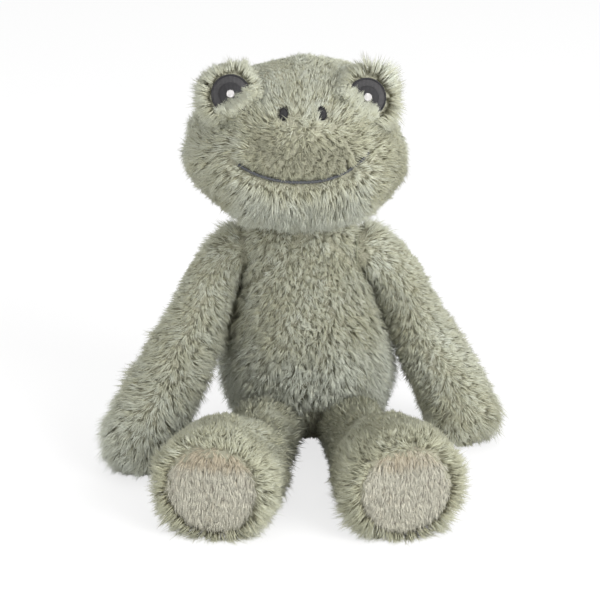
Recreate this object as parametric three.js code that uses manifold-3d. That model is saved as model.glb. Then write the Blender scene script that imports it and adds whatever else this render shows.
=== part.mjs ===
// A sitting plush frog: fur covers, their fibre fillings, sewn soles, embroidered face and seam threads.
// Millimetres, +Z up. The frog faces -Y, and "left" and "right" are the viewer's.
import * as THREE from 'three';
import { mergeVertices } from 'three/addons/utils/BufferGeometryUtils.js';
import Module from 'manifold-3d';

const wasm = await Module();
wasm.setup();

// Fabric, clearances and thread that every piece shares
const fabricWall = 1.6;
const clearance = 0.3;
const neckClearance = 0.5;
const hipClearance = 0.8;
const limbFillingClearance = 1.2;
const bodyToArm = 1.4;
const seamThreadRadius = 0.7;
const seatDip = 0.5; // how far each resting form would dip below the floor, where it is cut flat
const cutOverrun = 20;

// Neck: a ball of filling between a pocket in the head and a pocket in the body
const neckBallRadius = 17;
const neckSide = -4;
const neckBehind = 14;
const neckHeight = 146;
const neckSeamDrop = 2.5; // from the middle of the ball down to the seam thread

// Head: a wide rounded form over the neck, turned a little to the viewer's right
const headHeight = 91.4;
const headHalfWidth = 62;
const headFront = 52;
const headBack = 52;
const headAboveNeck = 2.6;
const headAheadOfNeck = 22;
const headSide = -4.6;
const headLean = 6;
const headYaw = THREE.MathUtils.degToRad(3.5);
// height, half-width, front and back from the head's axis, lean, as shares of the sizes above
const headShares = [
  [0, 0, -0.19, 0.19, 0.5],
  [0.02, 0.4, 0.4, 0.62, 0.5],
  [0.07, 0.61, 0.64, 0.77, 0.5],
  [0.16, 0.81, 0.84, 0.89, 0.4],
  [0.28, 0.95, 0.96, 0.97, 0.2],
  [0.4, 1, 1, 1, 0],
  [0.52, 0.975, 0.98, 1, 0],
  [0.65, 0.91, 0.885, 0.96, 0],
  [0.77, 0.82, 0.73, 0.865, 0.2],
  [0.87, 0.67, 0.54, 0.71, 0.5],
  [0.95, 0.45, 0.31, 0.52, 0.85],
  [0.99, 0.2, 0.1, 0.31, 1],
  [1, 0, -0.1, 0.1, 1],
];

// Eye mounds: stubby domes on the head's top corners, looking forward, a little up and outward
const moundRadius = 15.6;
const moundDomeRadius = 22;
const moundDomeEdge = 12.4;
const moundRoundOff = 6; // how far behind the dome's edge the mound reaches its full width
const moundLength = 36;
const moundSpread = 38.2;
const moundAhead = 32;
const leftMoundBelowCrown = 9.5;
const rightMoundBelowCrown = 12.6;
const moundTilt = THREE.MathUtils.degToRad(18);
const moundOutward = THREE.MathUtils.degToRad(6);

// Embroidery on the eyes: flat caps that follow the dome, one on the other
const eyeDiscRadius = 10.2;
const eyeDiscThickness = 0.9;
const pupilRadius = 6;
const pupilThickness = 0.6;
const highlightRadius = 2.3;
const highlightThickness = 0.5;
const outlineThreadRadius = 0.5;

// Nostrils and mouth on the muzzle, whose middle lies a little to the right of the head's
const faceSide = 1.8;
const nostrilHalfWidth = 2.3;
const nostrilHalfHeight = 3.3;
const nostrilHalfDepth = 0.7;
const nostrilSpread = 10.7;
const nostrilBelowCrown = 21.4;
const mouthThreadRadius = 1;
const mouthHalfWidth = 36.5;
const mouthBelowCrown = 55.4;
const mouthLeftRise = 8.5; // the smile is a little lopsided
const mouthRightRise = 13;
const mouthCurl = 2.3; // exponent of the smile's rise towards its corners

// Body: a pear-shaped form on a flat seat, its top leaning under the head
const bodyHeight = 144.5;
const bodyHalfWidth = 48.5;
const bodyFront = 44;
const bodyBack = 47;
const bodyBehind = 25;
const bodyLean = -4;
// height, half-width, front and back from the body's axis, lean, as shares of the sizes above
const bodyShares = [
  [0, 0, -0.16, 0.15, 0],
  [0.005, 0.6, 0.386, 0.66, 0],
  [0.022, 0.77, 0.52, 0.79, 0],
  [0.07, 0.9, 0.73, 0.915, 0],
  [0.16, 0.98, 0.886, 0.98, 0.05],
  [0.3, 1, 1, 1, 0.15],
  [0.44, 0.97, 1, 0.96, 0.3],
  [0.58, 0.88, 0.93, 0.87, 0.45],
  [0.71, 0.78, 0.82, 0.72, 0.6],
  [0.82, 0.73, 0.73, 0.55, 0.75],
  [0.9, 0.67, 0.66, 0.38, 0.9],
  [0.955, 0.54, 0.59, 0.21, 1],
  [0.99, 0.25, 0.45, -0.02, 1],
  [1, 0, 0.25, -0.234, 1],
];

// Pouch of pellets that weights the seat, and the ladder stitch that closes the back
const pouchHalfWidth = 26;
const pouchHalfDepth = 15;
const pouchHeight = 15;
const pouchBehind = 34;
const backSeamLow = 24;
const backSeamHigh = 92;
const backSeamStitches = 5;
const backSeamHalfWidth = 1.6;
const backSeamThreadRadius = 0.5;

// Arms: each root turns against a flat round seat on the body's side
const armRadius = 20.6;
const leftArmOut = 64; // from the seat to the middle of the hand
const rightArmOut = 65.5;
const armRootDepth = 6; // how far the form starts inside the seat, where it is cut off
const armSeatRadius = 17;
const armSeamRadius = 14.6;
const shoulderHalfSpread = 31;
const shoulderSide = -3;
const shoulderBehind = 20;
const shoulderHeight = 118.5;
const leftHandAhead = 59;
const rightHandAhead = 16;
const leftElbowBehind = 0;
const rightElbowBehind = 10;
// out, ahead and down from the shoulder to the middle of the hand, as shares
const armRouteShares = [
  [0, 0, 0],
  [0.15, 0.01, 0.01],
  [0.35, 0.13, 0.13],
  [0.49, 0.32, 0.345],
  [0.7, 0.58, 0.61],
  [0.89, 0.83, 0.85],
  [1, 1, 1],
];
// place along the route and radius, as shares of its length and of the hand's radius
const armShares = [
  [0, 0],
  [0.008, 0.32],
  [0.03, 0.56],
  [0.07, 0.645],
  [0.13, 0.66],
  [0.3, 0.72],
  [0.5, 0.8],
  [0.68, 0.9],
  [0.82, 0.99],
  [0.9, 0.96],
  [0.96, 0.74],
  [0.99, 0.38],
  [1, 0],
];

// Legs: they lie forward on the floor and swell into feet, each closed by a round sole
const legRadius = 31;
const legRootRadius = 17;
const legReach = 122; // from the hip to the middle of the sole
const legSplay = 28;
const hipHalfSpread = 26;
const hipAhead = 12;
const soleRadius = 24.5;
const soleCutDepth = 6; // how far behind the sole's middle its round opening is cut from
const legLift = THREE.MathUtils.degToRad(40);
const legLiftSteps = 2;
// out, ahead and rise from the hip to the sole, as shares
const legRouteShares = [
  [0, 0, 0],
  [0.2, 0.25, 0.03],
  [0.42, 0.45, 0.2],
  [0.6, 0.6, 0.5],
  [0.78, 0.76, 0.86],
  [0.93, 0.92, 1],
  [1, 1, 1],
];
const legShares = [
  [0, 0],
  [0.015, 0.27],
  [0.05, 0.46],
  [0.12, 0.565],
  [0.3, 0.575],
  [0.46, 0.65],
  [0.6, 0.83],
  [0.73, 0.98],
  [0.84, 1],
  [0.93, 0.98],
  [0.972, 0.9],
  [0.983, 0.8],
  [0.993, 0.55],
  [1, 0],
];

// How finely the rounded forms are divided
const headRings = 13;
const bodyRings = 14;
const limbRings = 12;
const bodySides = 18;
const limbSides = 12;
const latheSides = 16;
const ballSides = 22;
const domeSteps = 2;
const moundSteps = 3;
const threadSides = 5;
const threadSteps = 18;
const mouthSteps = 12;
const outlineExponent = 2.25; // 2 makes each ring an ellipse, and more makes it squarer

// Fabric, filling and thread colours
const furColour = 0x9c9d87;
const soleColour = 0xb3ab9a;
const fillingColour = 0xe9e6dd;
const pelletColour = 0xcfcabb;
const eyeColour = 0x4d4e52;
const pupilColour = 0x2f3034;
const highlightColour = 0xdcdad2;
const mouthColour = 0x555a63;
const seamColour = 0x7d7f6a;

function cloth(color) {
  return new THREE.MeshStandardMaterial({ color, roughness: 1, metalness: 0 });
}

const fur = cloth(furColour);
const soleCloth = cloth(soleColour);
const filling = cloth(fillingColour);
const pellets = cloth(pelletColour);
const eyeThread = cloth(eyeColour);
const pupilThread = cloth(pupilColour);
const highlightThread = cloth(highlightColour);
const mouthThread = cloth(mouthColour);
const seamThread = cloth(seamColour);

function toSolid(geometry) {
  const bare = geometry.clone();
  bare.deleteAttribute('normal');
  bare.deleteAttribute('uv');
  const merged = mergeVertices(bare);
  return new wasm.Manifold(new wasm.Mesh({
    numProp: 3,
    vertProperties: new Float32Array(merged.attributes.position.array),
    triVerts: new Uint32Array(merged.index.array),
  }));
}

function toGeometry(solid) {
  const cut = solid.getMesh();
  const geometry = new THREE.BufferGeometry();
  geometry.setAttribute('position', new THREE.BufferAttribute(new Float32Array(cut.vertProperties), cut.numProp));
  geometry.setIndex(new THREE.BufferAttribute(new Uint32Array(cut.triVerts), 1));
  geometry.computeVertexNormals();
  return geometry;
}

function cutAway(solid, ...tools) {
  return tools.reduce((left, tool) => left.subtract(tool), solid);
}

function addPiece(group, name, geometry, material) {
  const mesh = new THREE.Mesh(geometry, material);
  mesh.name = name;
  group.add(mesh);
  return mesh;
}

// A closed surface from its start point through rings of equal length to its end point.
function closedSurface(start, rings, end) {
  const sides = rings[0].length;
  const points = [...rings.flat(), start, end];
  const startIndex = points.length - 2;
  const endIndex = points.length - 1;
  const lastRing = (rings.length - 1) * sides;
  const faces = [];
  for (let side = 0; side < sides; side += 1) {
    const next = (side + 1) % sides;
    faces.push(startIndex, next, side);
    for (let low = 0; low < lastRing; low += sides) {
      const high = low + sides;
      faces.push(low + side, low + next, high + next);
      faces.push(low + side, high + next, high + side);
    }
    faces.push(endIndex, lastRing + side, lastRing + next);
  }
  const geometry = new THREE.BufferGeometry().setFromPoints(points);
  geometry.setIndex(faces);
  return geometry;
}

function smoothCurve(points) {
  return new THREE.CatmullRomCurve3(points, false, 'catmullrom');
}

// A rounded upright form from its table of shares, drawn in by the inset on every side.
function uprightForm(shares, size, ringCount, inset) {
  const widths = smoothCurve(shares.map(([height, width, , , lean = 0]) => new THREE.Vector3(width, lean, height)));
  const depths = smoothCurve(shares.map(([height, , front, back]) => new THREE.Vector3(front, back, height)));
  const ringAt = (along) => {
    const { x: width, y: lean, z: height } = widths.getPoint(along);
    const { x: front, y: back } = depths.getPoint(along);
    const frontEdge = -front * (size.front - inset);
    const backEdge = back * (size.back - inset);
    const centre = new THREE.Vector3(
      lean * size.lean,
      (frontEdge + backEdge) / 2,
      inset + height * (size.height - 2 * inset),
    );
    return { centre, halfWidth: width * (size.halfWidth - inset), halfDepth: (backEdge - frontEdge) / 2 };
  };
  const rings = [];
  for (let ring = 1; ring < ringCount; ring += 1) {
    rings.push(roundedRing(ringAt(ring / ringCount)));
  }
  return closedSurface(ringAt(0).centre, rings, ringAt(1).centre);
}

function roundedRing({ centre, halfWidth, halfDepth }) {
  const swell = (value) => Math.sign(value) * Math.abs(value) ** (2 / outlineExponent);
  const ring = [];
  for (let side = 0; side < bodySides; side += 1) {
    const angle = (2 * Math.PI * side) / bodySides;
    const across = halfWidth * swell(Math.cos(angle));
    const along = halfDepth * swell(Math.sin(angle));
    ring.push(new THREE.Vector3(across, along, 0).add(centre));
  }
  return ring;
}

// A limb: round rings square to its route, with their radius from a table of shares. Each ring's
// first point lies square to a sideways direction, which the route never runs along.
function limbForm(route, sideways, shares, radius, inset) {
  const profile = smoothCurve(shares.map(([along, share]) => new THREE.Vector3(along, share, 0)));
  const length = route.getLength();
  const frameAt = (along) => {
    const wanted = (inset + along * (length - 2 * inset)) / length;
    const place = THREE.MathUtils.clamp(wanted, 0, 1);
    const forward = route.getTangentAt(place);
    const centre = route.getPointAt(place).addScaledVector(forward, (wanted - place) * length);
    return { centre, forward };
  };
  const rings = [];
  for (let ring = 1; ring < limbRings; ring += 1) {
    const { x: along, y: share } = profile.getPoint(ring / limbRings);
    const { centre, forward } = frameAt(along);
    const across = sideways.clone().cross(forward).normalize();
    const up = forward.clone().cross(across);
    const reach = share * (radius - inset);
    const points = [];
    for (let side = 0; side < limbSides; side += 1) {
      const angle = (2 * Math.PI * side) / limbSides;
      const point = centre.clone().addScaledVector(across, reach * Math.cos(angle));
      points.push(point.addScaledVector(up, reach * Math.sin(angle)));
    }
    rings.push(points);
  }
  return closedSurface(frameAt(0).centre, rings, frameAt(1).centre);
}

function ball(radius, place) {
  return toSolid(new THREE.SphereGeometry(radius, ballSides, ballSides / 2).translate(...place));
}

// A disc-shaped cutter whose axis runs along the given direction from the given place.
function rod(radius, length, from, direction) {
  const geometry = new THREE.CylinderGeometry(radius, radius, length, latheSides);
  geometry.translate(0, length / 2, 0);
  const turn = new THREE.Quaternion().setFromUnitVectors(new THREE.Vector3(0, 1, 0), direction);
  geometry.applyQuaternion(turn).translate(...from);
  return toSolid(geometry);
}

// A thin cap over a dome of the given radius, centred on +Y with the dome's top at the origin.
function domeCap(domeRadius, capRadius, lift, thickness) {
  const arc = (radius) => {
    const widest = Math.asin(capRadius / domeRadius);
    const points = [];
    for (let step = 0; step <= domeSteps; step += 1) {
      const angle = (widest * step) / domeSteps;
      points.push(new THREE.Vector2(radius * Math.sin(angle), radius * Math.cos(angle) - domeRadius));
    }
    return points;
  };
  const under = arc(domeRadius + lift);
  const over = arc(domeRadius + lift + thickness);
  return new THREE.LatheGeometry([...under, ...over.reverse()], latheSides);
}

// A thread laid along points, round in section.
function threadAlong(points, radius) {
  const section = new THREE.Shape();
  section.absarc(0, 0, radius, 0, 2 * Math.PI);
  return new THREE.ExtrudeGeometry(section, {
    steps: threadSteps,
    curveSegments: threadSides - 2,
    bevelEnabled: false,
    extrudePath: new THREE.CatmullRomCurve3(points),
  });
}

// The point and the outward direction where a straight look meets a surface.
function touchPoint(mesh, from, towards) {
  mesh.updateMatrixWorld(true);
  const [hit] = new THREE.Raycaster(from, towards).intersectObject(mesh, false);
  return { point: hit.point, outwards: hit.face.normal.clone() };
}

const outward = { left: -1, right: 1 };
const bothSides = Object.keys(outward);

// Arms, each placed by its shoulder
const shoulderPlaces = {
  left: new THREE.Vector3(shoulderSide - shoulderHalfSpread, shoulderBehind, shoulderHeight),
  right: new THREE.Vector3(shoulderSide + shoulderHalfSpread, shoulderBehind, shoulderHeight),
};
const handDrop = shoulderHeight - armRadius + seatDip;
const armOut = { left: leftArmOut, right: rightArmOut };
const handAhead = { left: leftHandAhead, right: rightHandAhead };
const elbowBehind = { left: leftElbowBehind, right: rightElbowBehind };

function armForm(side, inset) {
  const points = armRouteShares.map(([out, ahead, down]) => new THREE.Vector3(
    outward[side] * armOut[side] * out,
    elbowBehind[side] * Math.sin(Math.PI * down) - handAhead[side] * ahead,
    -handDrop * down,
  ));
  const root = new THREE.Vector3(-outward[side] * armRootDepth, 0, 0);
  const hand = points.at(-1);
  const tip = hand.clone().sub(points.at(-2)).setLength(armRadius).add(hand);
  const route = new THREE.CatmullRomCurve3([root, ...points, tip]);
  return limbForm(route, new THREE.Vector3(0, 1, 0), armShares, armRadius, inset);
}

// Legs, each placed by its hip
const hipHeight = legRootRadius - seatDip;
const footRise = legRadius - legRootRadius;
const hipPlaces = {
  left: new THREE.Vector3(-hipHalfSpread, -hipAhead, hipHeight),
  right: new THREE.Vector3(hipHalfSpread, -hipAhead, hipHeight),
};

function legPoints(side) {
  return legRouteShares.map(([out, ahead, rise]) => new THREE.Vector3(
    outward[side] * legSplay * out,
    -legReach * ahead,
    footRise * rise,
  ));
}

function legForm(side, inset) {
  const root = new THREE.Vector3(0, legRootRadius, 0);
  const route = new THREE.CatmullRomCurve3([root, ...legPoints(side)]);
  return limbForm(route, new THREE.Vector3(1, 0, 0), legShares, legRadius, inset);
}

// Blocks that level the underside of the forms, outside and inside their cloth
const floorReach = 2 * (bodyHeight + legReach);

function blockBelow(height) {
  const block = new THREE.BoxGeometry(floorReach, floorReach, cutOverrun);
  return block.translate(0, 0, height - cutOverrun / 2);
}

const floorBlock = toSolid(blockBelow(0));
const clothFloorBlock = toSolid(blockBelow(fabricWall));
const fillingFloorBlock = toSolid(blockBelow(fabricWall + clearance));

// Body, with room for the neck, for the roots of the arms and for the legs as they lift
const frog = new THREE.Group();
const bodySize = {
  halfWidth: bodyHalfWidth,
  front: bodyFront,
  back: bodyBack,
  height: bodyHeight,
  lean: bodyLean,
};
const neckPlace = new THREE.Vector3(neckSide, neckBehind, neckHeight);
const bodyCutters = [floorBlock, ball(neckBallRadius + neckClearance, neckPlace)];
for (const side of bothSides) {
  const away = new THREE.Vector3(outward[side], 0, 0);
  bodyCutters.push(rod(armSeatRadius, cutOverrun, shoulderPlaces[side], away));
  for (let step = 0; step <= legLiftSteps; step += 1) {
    const lifted = legForm(side, -hipClearance).rotateX((-legLift * step) / legLiftSteps);
    bodyCutters.push(toSolid(lifted.translate(...hipPlaces[side])));
  }
}

function bodyForm(inset) {
  const form = uprightForm(bodyShares, bodySize, bodyRings, inset);
  return toSolid(form.translate(0, bodyBehind, -seatDip));
}

const bodyHollow = cutAway(bodyForm(fabricWall), clothFloorBlock);
const bodySkin = cutAway(bodyForm(0), bodyHollow, ...bodyCutters);
const bodyMesh = addPiece(frog, 'body_skin', toGeometry(bodySkin), fur);

function pouchForm(inset) {
  const profile = [new THREE.Vector2(0, inset)];
  for (let step = 0; step <= moundSteps; step += 1) {
    const angle = (Math.PI / 2) * (step / moundSteps);
    const reach = step === moundSteps ? 0 : (pouchHalfWidth - inset) * Math.cos(angle);
    profile.push(new THREE.Vector2(reach, inset + (pouchHeight - 2 * inset) * Math.sin(angle)));
  }
  const form = new THREE.LatheGeometry(profile, latheSides).rotateX(Math.PI / 2);
  const depthShare = (pouchHalfDepth - inset) / (pouchHalfWidth - inset);
  return form.scale(1, depthShare, 1).translate(0, pouchBehind, fabricWall + clearance);
}

const bodyFilling = cutAway(
  bodyForm(fabricWall + clearance),
  fillingFloorBlock,
  toSolid(pouchForm(-clearance)),
  ...bodyCutters,
);
addPiece(frog, 'body_filling', toGeometry(bodyFilling), filling);
addPiece(frog, 'pellet_pouch', pouchForm(0), pellets);

// Ladder stitch up the middle of the back
const backSeamPoints = [];
for (let stitch = 0; stitch <= 2 * backSeamStitches; stitch += 1) {
  const share = stitch / (2 * backSeamStitches);
  const sideways = stitch % 2 === 0 ? -backSeamHalfWidth : backSeamHalfWidth;
  const height = THREE.MathUtils.lerp(backSeamLow, backSeamHigh, share);
  const behind = new THREE.Vector3(sideways, 2 * (bodyBehind + bodyBack), height);
  const { point, outwards } = touchPoint(bodyMesh, behind, new THREE.Vector3(0, -1, 0));
  backSeamPoints.push(point.addScaledVector(outwards, backSeamThreadRadius + clearance));
}
addPiece(frog, 'back_seam', threadAlong(backSeamPoints, backSeamThreadRadius), seamThread);

// Neck: its ball of filling and the thread that sews head and body together round it
const neckGroup = new THREE.Group();
neckGroup.position.copy(neckPlace);
frog.add(neckGroup);
addPiece(neckGroup, 'neck_filling', new THREE.SphereGeometry(neckBallRadius, ballSides, ballSides / 2), filling);
const neckSeamReach = Math.sqrt(neckBallRadius ** 2 - neckSeamDrop ** 2) + neckClearance + seamThreadRadius;
const neckSeam = new THREE.TorusGeometry(neckSeamReach, seamThreadRadius, threadSides, latheSides);
addPiece(neckGroup, 'neck_seam', neckSeam.translate(0, 0, -neckSeamDrop), seamThread);

// Head, in a group that stands on the middle of the neck
const headGroup = new THREE.Group();
headGroup.position.copy(neckPlace);
headGroup.rotation.z = headYaw;
frog.add(headGroup);
const headSize = {
  halfWidth: headHalfWidth,
  front: headFront,
  back: headBack,
  height: headHeight,
  lean: headLean,
};
const neckPocket = ball(neckBallRadius + neckClearance, new THREE.Vector3());

function headForm(inset) {
  const form = uprightForm(headShares, headSize, headRings, inset);
  return toSolid(form.translate(headSide, -headAheadOfNeck, headAboveNeck));
}

const headSkin = cutAway(headForm(0), headForm(fabricWall), neckPocket);
addPiece(headGroup, 'head_skin', toGeometry(headSkin), fur);
const headFilling = cutAway(headForm(fabricWall + clearance), neckPocket);
addPiece(headGroup, 'head_filling', toGeometry(headFilling), filling);

// Eye mounds in frames of their own: +Y looks out of the eye, and the dome's top is the origin
function moundForm(inset) {
  const domeRadius = moundDomeRadius - inset;
  const domeEdge = moundDomeEdge - inset;
  const radius = moundRadius - inset;
  const dip = Math.sqrt(domeRadius ** 2 - domeEdge ** 2) - moundDomeRadius;
  const widest = dip - moundRoundOff;
  const profile = [new THREE.Vector2(0, inset - moundLength)];
  for (let step = 1; step <= moundSteps; step += 1) {
    const angle = (Math.PI / 2) * (step / moundSteps);
    profile.push(new THREE.Vector2(
      radius * Math.sin(angle),
      widest + (inset - moundLength - widest) * Math.cos(angle),
    ));
  }
  for (let step = 1; step <= domeSteps; step += 1) {
    const angle = (Math.PI / 2) * (step / domeSteps);
    profile.push(new THREE.Vector2(
      domeEdge + (radius - domeEdge) * Math.cos(angle),
      dip - moundRoundOff * (1 - Math.sin(angle)),
    ));
  }
  for (let step = domeSteps - 1; step >= 0; step -= 1) {
    const reach = (domeEdge * step) / domeSteps;
    profile.push(new THREE.Vector2(reach, Math.sqrt(domeRadius ** 2 - reach ** 2) - moundDomeRadius));
  }
  return new THREE.LatheGeometry(profile, latheSides);
}

const headCrown = headAboveNeck + headHeight;
const moundBelowCrown = { left: leftMoundBelowCrown, right: rightMoundBelowCrown };
const headShape = headForm(-clearance);
for (const side of bothSides) {
  const eye = new THREE.Group();
  eye.position.set(
    headSide + outward[side] * moundSpread,
    -headAheadOfNeck - moundAhead,
    headCrown - moundBelowCrown[side],
  );
  eye.rotation.set(Math.PI - moundTilt, 0, outward[side] * moundOutward, 'ZXY');
  eye.updateMatrix();
  headGroup.add(eye);
  const shape = (inset) => toSolid(moundForm(inset).applyMatrix4(eye.matrix));
  const moundSkin = cutAway(shape(0), shape(fabricWall), headShape);
  addPiece(headGroup, `eye_mound_skin_${side}`, toGeometry(moundSkin), fur);
  const moundFilling = cutAway(shape(fabricWall + clearance), headShape);
  addPiece(headGroup, `eye_mound_filling_${side}`, toGeometry(moundFilling), filling);

  const disc = domeCap(moundDomeRadius, eyeDiscRadius, clearance, eyeDiscThickness);
  addPiece(eye, `eye_disc_${side}`, disc, eyeThread);
  const pupilLift = 2 * clearance + eyeDiscThickness;
  const pupil = domeCap(moundDomeRadius, pupilRadius, pupilLift, pupilThickness);
  addPiece(eye, `pupil_${side}`, pupil, pupilThread);
  const highlightLift = pupilLift + pupilThickness + clearance;
  const highlight = domeCap(moundDomeRadius, highlightRadius, highlightLift, highlightThickness);
  addPiece(eye, `eye_highlight_${side}`, highlight, highlightThread);
  const outlineDome = moundDomeRadius + clearance + outlineThreadRadius;
  const outlineAngle = Math.asin((eyeDiscRadius + 2 * clearance + outlineThreadRadius) / moundDomeRadius);
  const outline = new THREE.TorusGeometry(
    outlineDome * Math.sin(outlineAngle),
    outlineThreadRadius,
    threadSides,
    latheSides,
  );
  outline.rotateX(Math.PI / 2).translate(0, outlineDome * Math.cos(outlineAngle) - moundDomeRadius, 0);
  addPiece(eye, `eye_outline_${side}`, outline, pupilThread);
}

// Nostrils and mouth, laid on the front of the face
const faceMesh = new THREE.Mesh(toGeometry(headForm(0)), fur);

function facePoint(sideways, height) {
  const across = headSide + faceSide + sideways;
  const ahead = new THREE.Vector3(across, -2 * (headAheadOfNeck + headFront), height);
  return touchPoint(faceMesh, ahead, new THREE.Vector3(0, 1, 0));
}

for (const side of bothSides) {
  const { point, outwards } = facePoint(outward[side] * nostrilSpread, headCrown - nostrilBelowCrown);
  const nostril = new THREE.SphereGeometry(1, latheSides / 2, moundSteps);
  nostril.scale(nostrilHalfWidth, nostrilHalfHeight, nostrilHalfDepth);
  const mesh = addPiece(headGroup, `nostril_${side}`, nostril, pupilThread);
  mesh.position.copy(point.addScaledVector(outwards, 2 * clearance + nostrilHalfDepth));
  const turn = new THREE.Matrix4().lookAt(outwards, new THREE.Vector3(), new THREE.Vector3(0, 0, 1));
  mesh.quaternion.setFromRotationMatrix(turn);
}

const mouthPoints = [];
for (let step = -mouthSteps; step <= mouthSteps; step += 1) {
  const share = step / mouthSteps;
  const cornerRise = share < 0 ? mouthLeftRise : mouthRightRise;
  const height = headCrown - mouthBelowCrown + cornerRise * Math.abs(share) ** mouthCurl;
  const { point, outwards } = facePoint(mouthHalfWidth * share, height);
  mouthPoints.push(point.addScaledVector(outwards, 2 * clearance + mouthThreadRadius));
}
addPiece(headGroup, 'mouth_thread', threadAlong(mouthPoints, mouthThreadRadius), mouthThread);

// Arms, flattened where they hang against the body below its seats
for (const side of bothSides) {
  const arm = new THREE.Group();
  arm.position.copy(shoulderPlaces[side]);
  frog.add(arm);
  const towardsBody = new THREE.Vector3(-outward[side], 0, 0);
  const away = towardsBody.clone().negate();
  const seatEdge = new THREE.Vector3(outward[side] * clearance, 0, 0);
  const body = rod(2 * armSeatRadius, cutOverrun, seatEdge, towardsBody);
  const toArm = shoulderPlaces[side].clone().negate();
  const floor = (height) => toSolid(blockBelow(height).translate(...toArm));
  const shape = (inset) => {
    const seat = rod(armSeatRadius - bodyToArm - inset, cutOverrun, shoulderPlaces[side], away);
    const pressedOn = cutAway(bodyForm(-bodyToArm - inset), seat);
    return cutAway(toSolid(armForm(side, inset)), pressedOn.translate(...toArm));
  };
  const armSkin = cutAway(shape(0), shape(fabricWall), body, floor(0));
  addPiece(arm, `arm_skin_${side}`, toGeometry(armSkin), fur);
  const armFilling = cutAway(shape(fabricWall + limbFillingClearance), body, floor(fabricWall + clearance));
  addPiece(arm, `arm_filling_${side}`, toGeometry(armFilling), filling);
  const armSeam = new THREE.TorusGeometry(armSeamRadius, seamThreadRadius, threadSides, latheSides);
  armSeam.rotateY(Math.PI / 2).translate(outward[side] * (clearance + seamThreadRadius), 0, 0);
  addPiece(arm, `arm_seam_${side}`, armSeam, seamThread);
}

// Legs and their soles
for (const side of bothSides) {
  const leg = new THREE.Group();
  leg.position.copy(hipPlaces[side]);
  frog.add(leg);
  const [ankle, sole] = legPoints(side).slice(-2);
  const forward = sole.clone().sub(ankle).normalize();
  const behindSole = sole.clone().addScaledVector(forward, -soleCutDepth);
  const soleHole = rod(soleRadius, cutOverrun, behindSole, forward);
  const soleBlank = rod(soleRadius - clearance, cutOverrun, behindSole, forward);
  const floor = (height) => toSolid(blockBelow(height).translate(...hipPlaces[side].clone().negate()));
  const shape = (inset) => toSolid(legForm(side, inset));
  const hollow = cutAway(shape(fabricWall), floor(fabricWall));
  const shell = cutAway(shape(0), hollow, floor(0));
  addPiece(leg, `leg_skin_${side}`, toGeometry(cutAway(shell, soleHole)), fur);
  addPiece(leg, `sole_pad_${side}`, toGeometry(shell.intersect(soleBlank)), soleCloth);
  const legFilling = cutAway(shape(fabricWall + limbFillingClearance), floor(fabricWall + clearance));
  addPiece(leg, `leg_filling_${side}`, toGeometry(legFilling), filling);
}

// The origin is the middle of the frog's outline on the floor
const outline = new THREE.Box3().setFromObject(frog, true);
const middle = outline.getCenter(new THREE.Vector3());
frog.position.set(-middle.x, -middle.y, 0);

export default frog;
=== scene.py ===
"""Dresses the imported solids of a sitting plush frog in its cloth, pile, embroidery and thread.

Shapes are worked out in millimetres in the frog's own frame: X to the viewer's right, Y away
from the viewer, Z up, with the floor at zero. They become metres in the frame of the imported
solids when they are put into a mesh.
"""

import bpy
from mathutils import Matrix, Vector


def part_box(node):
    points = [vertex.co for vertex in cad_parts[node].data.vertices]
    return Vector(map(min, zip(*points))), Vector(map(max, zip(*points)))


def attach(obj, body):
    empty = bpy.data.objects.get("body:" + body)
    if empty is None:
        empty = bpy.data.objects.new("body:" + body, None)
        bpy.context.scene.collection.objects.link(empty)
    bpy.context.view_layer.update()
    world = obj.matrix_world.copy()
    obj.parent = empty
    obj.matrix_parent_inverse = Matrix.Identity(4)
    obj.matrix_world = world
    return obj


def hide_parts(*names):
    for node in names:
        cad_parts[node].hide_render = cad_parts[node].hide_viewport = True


bl_info = {
    "name": "Sitting plush frog",
    "version": (1, 0, 0),
    "blender": (4, 5, 0),
    "location": "View3D > Sidebar > Frog",
    "description": "Dresses the solids of a plush frog in pile, cloth, embroidery and thread",
    "category": "Object",
}

import bpy
import numpy as np
from bpy.props import FloatProperty, FloatVectorProperty, IntProperty, PointerProperty
from bpy.types import Operator, Panel, PropertyGroup
from mathutils import Vector

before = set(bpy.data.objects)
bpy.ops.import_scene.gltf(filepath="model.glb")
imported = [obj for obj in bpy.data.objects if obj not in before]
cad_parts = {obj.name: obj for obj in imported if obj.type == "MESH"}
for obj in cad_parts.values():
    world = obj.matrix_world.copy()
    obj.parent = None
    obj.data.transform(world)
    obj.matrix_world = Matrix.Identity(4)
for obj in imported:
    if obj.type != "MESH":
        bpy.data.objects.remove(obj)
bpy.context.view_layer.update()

MM = 0.001
FLOOR_GAP = 0.25
PRESSED_PILE = 1.6
SIDES = {"left": -1.0, "right": 1.0}
RIGHT, BACKWARD, UP = np.eye(3)

# Head: height, half-width, front, back and lean as shares
HEAD_SHARES = np.array([
    [0, 0, -0.19, 0.19, 0.5],
    [0.02, 0.4, 0.4, 0.62, 0.5],
    [0.07, 0.61, 0.64, 0.77, 0.5],
    [0.16, 0.81, 0.84, 0.89, 0.4],
    [0.28, 0.95, 0.96, 0.97, 0.2],
    [0.4, 1, 1, 1, 0],
    [0.52, 0.975, 0.98, 1, 0],
    [0.65, 0.91, 0.885, 0.96, 0],
    [0.77, 0.82, 0.73, 0.865, 0.2],
    [0.87, 0.67, 0.54, 0.71, 0.5],
    [0.95, 0.45, 0.31, 0.52, 0.85],
    [0.99, 0.2, 0.1, 0.31, 1],
    [1, 0, -0.1, 0.1, 1],
])
HEAD_SIZE = {"height": 91.4, "half_width": 62.0, "front": 52.0, "back": 52.0, "lean": 6.0}
HEAD_PLACE = np.array([-4.6, -22.0, 2.6])
HEAD_YAW = np.radians(3.5)
HEAD_SIDE, HEAD_DEPTH, HEAD_LOW = HEAD_PLACE
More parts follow.
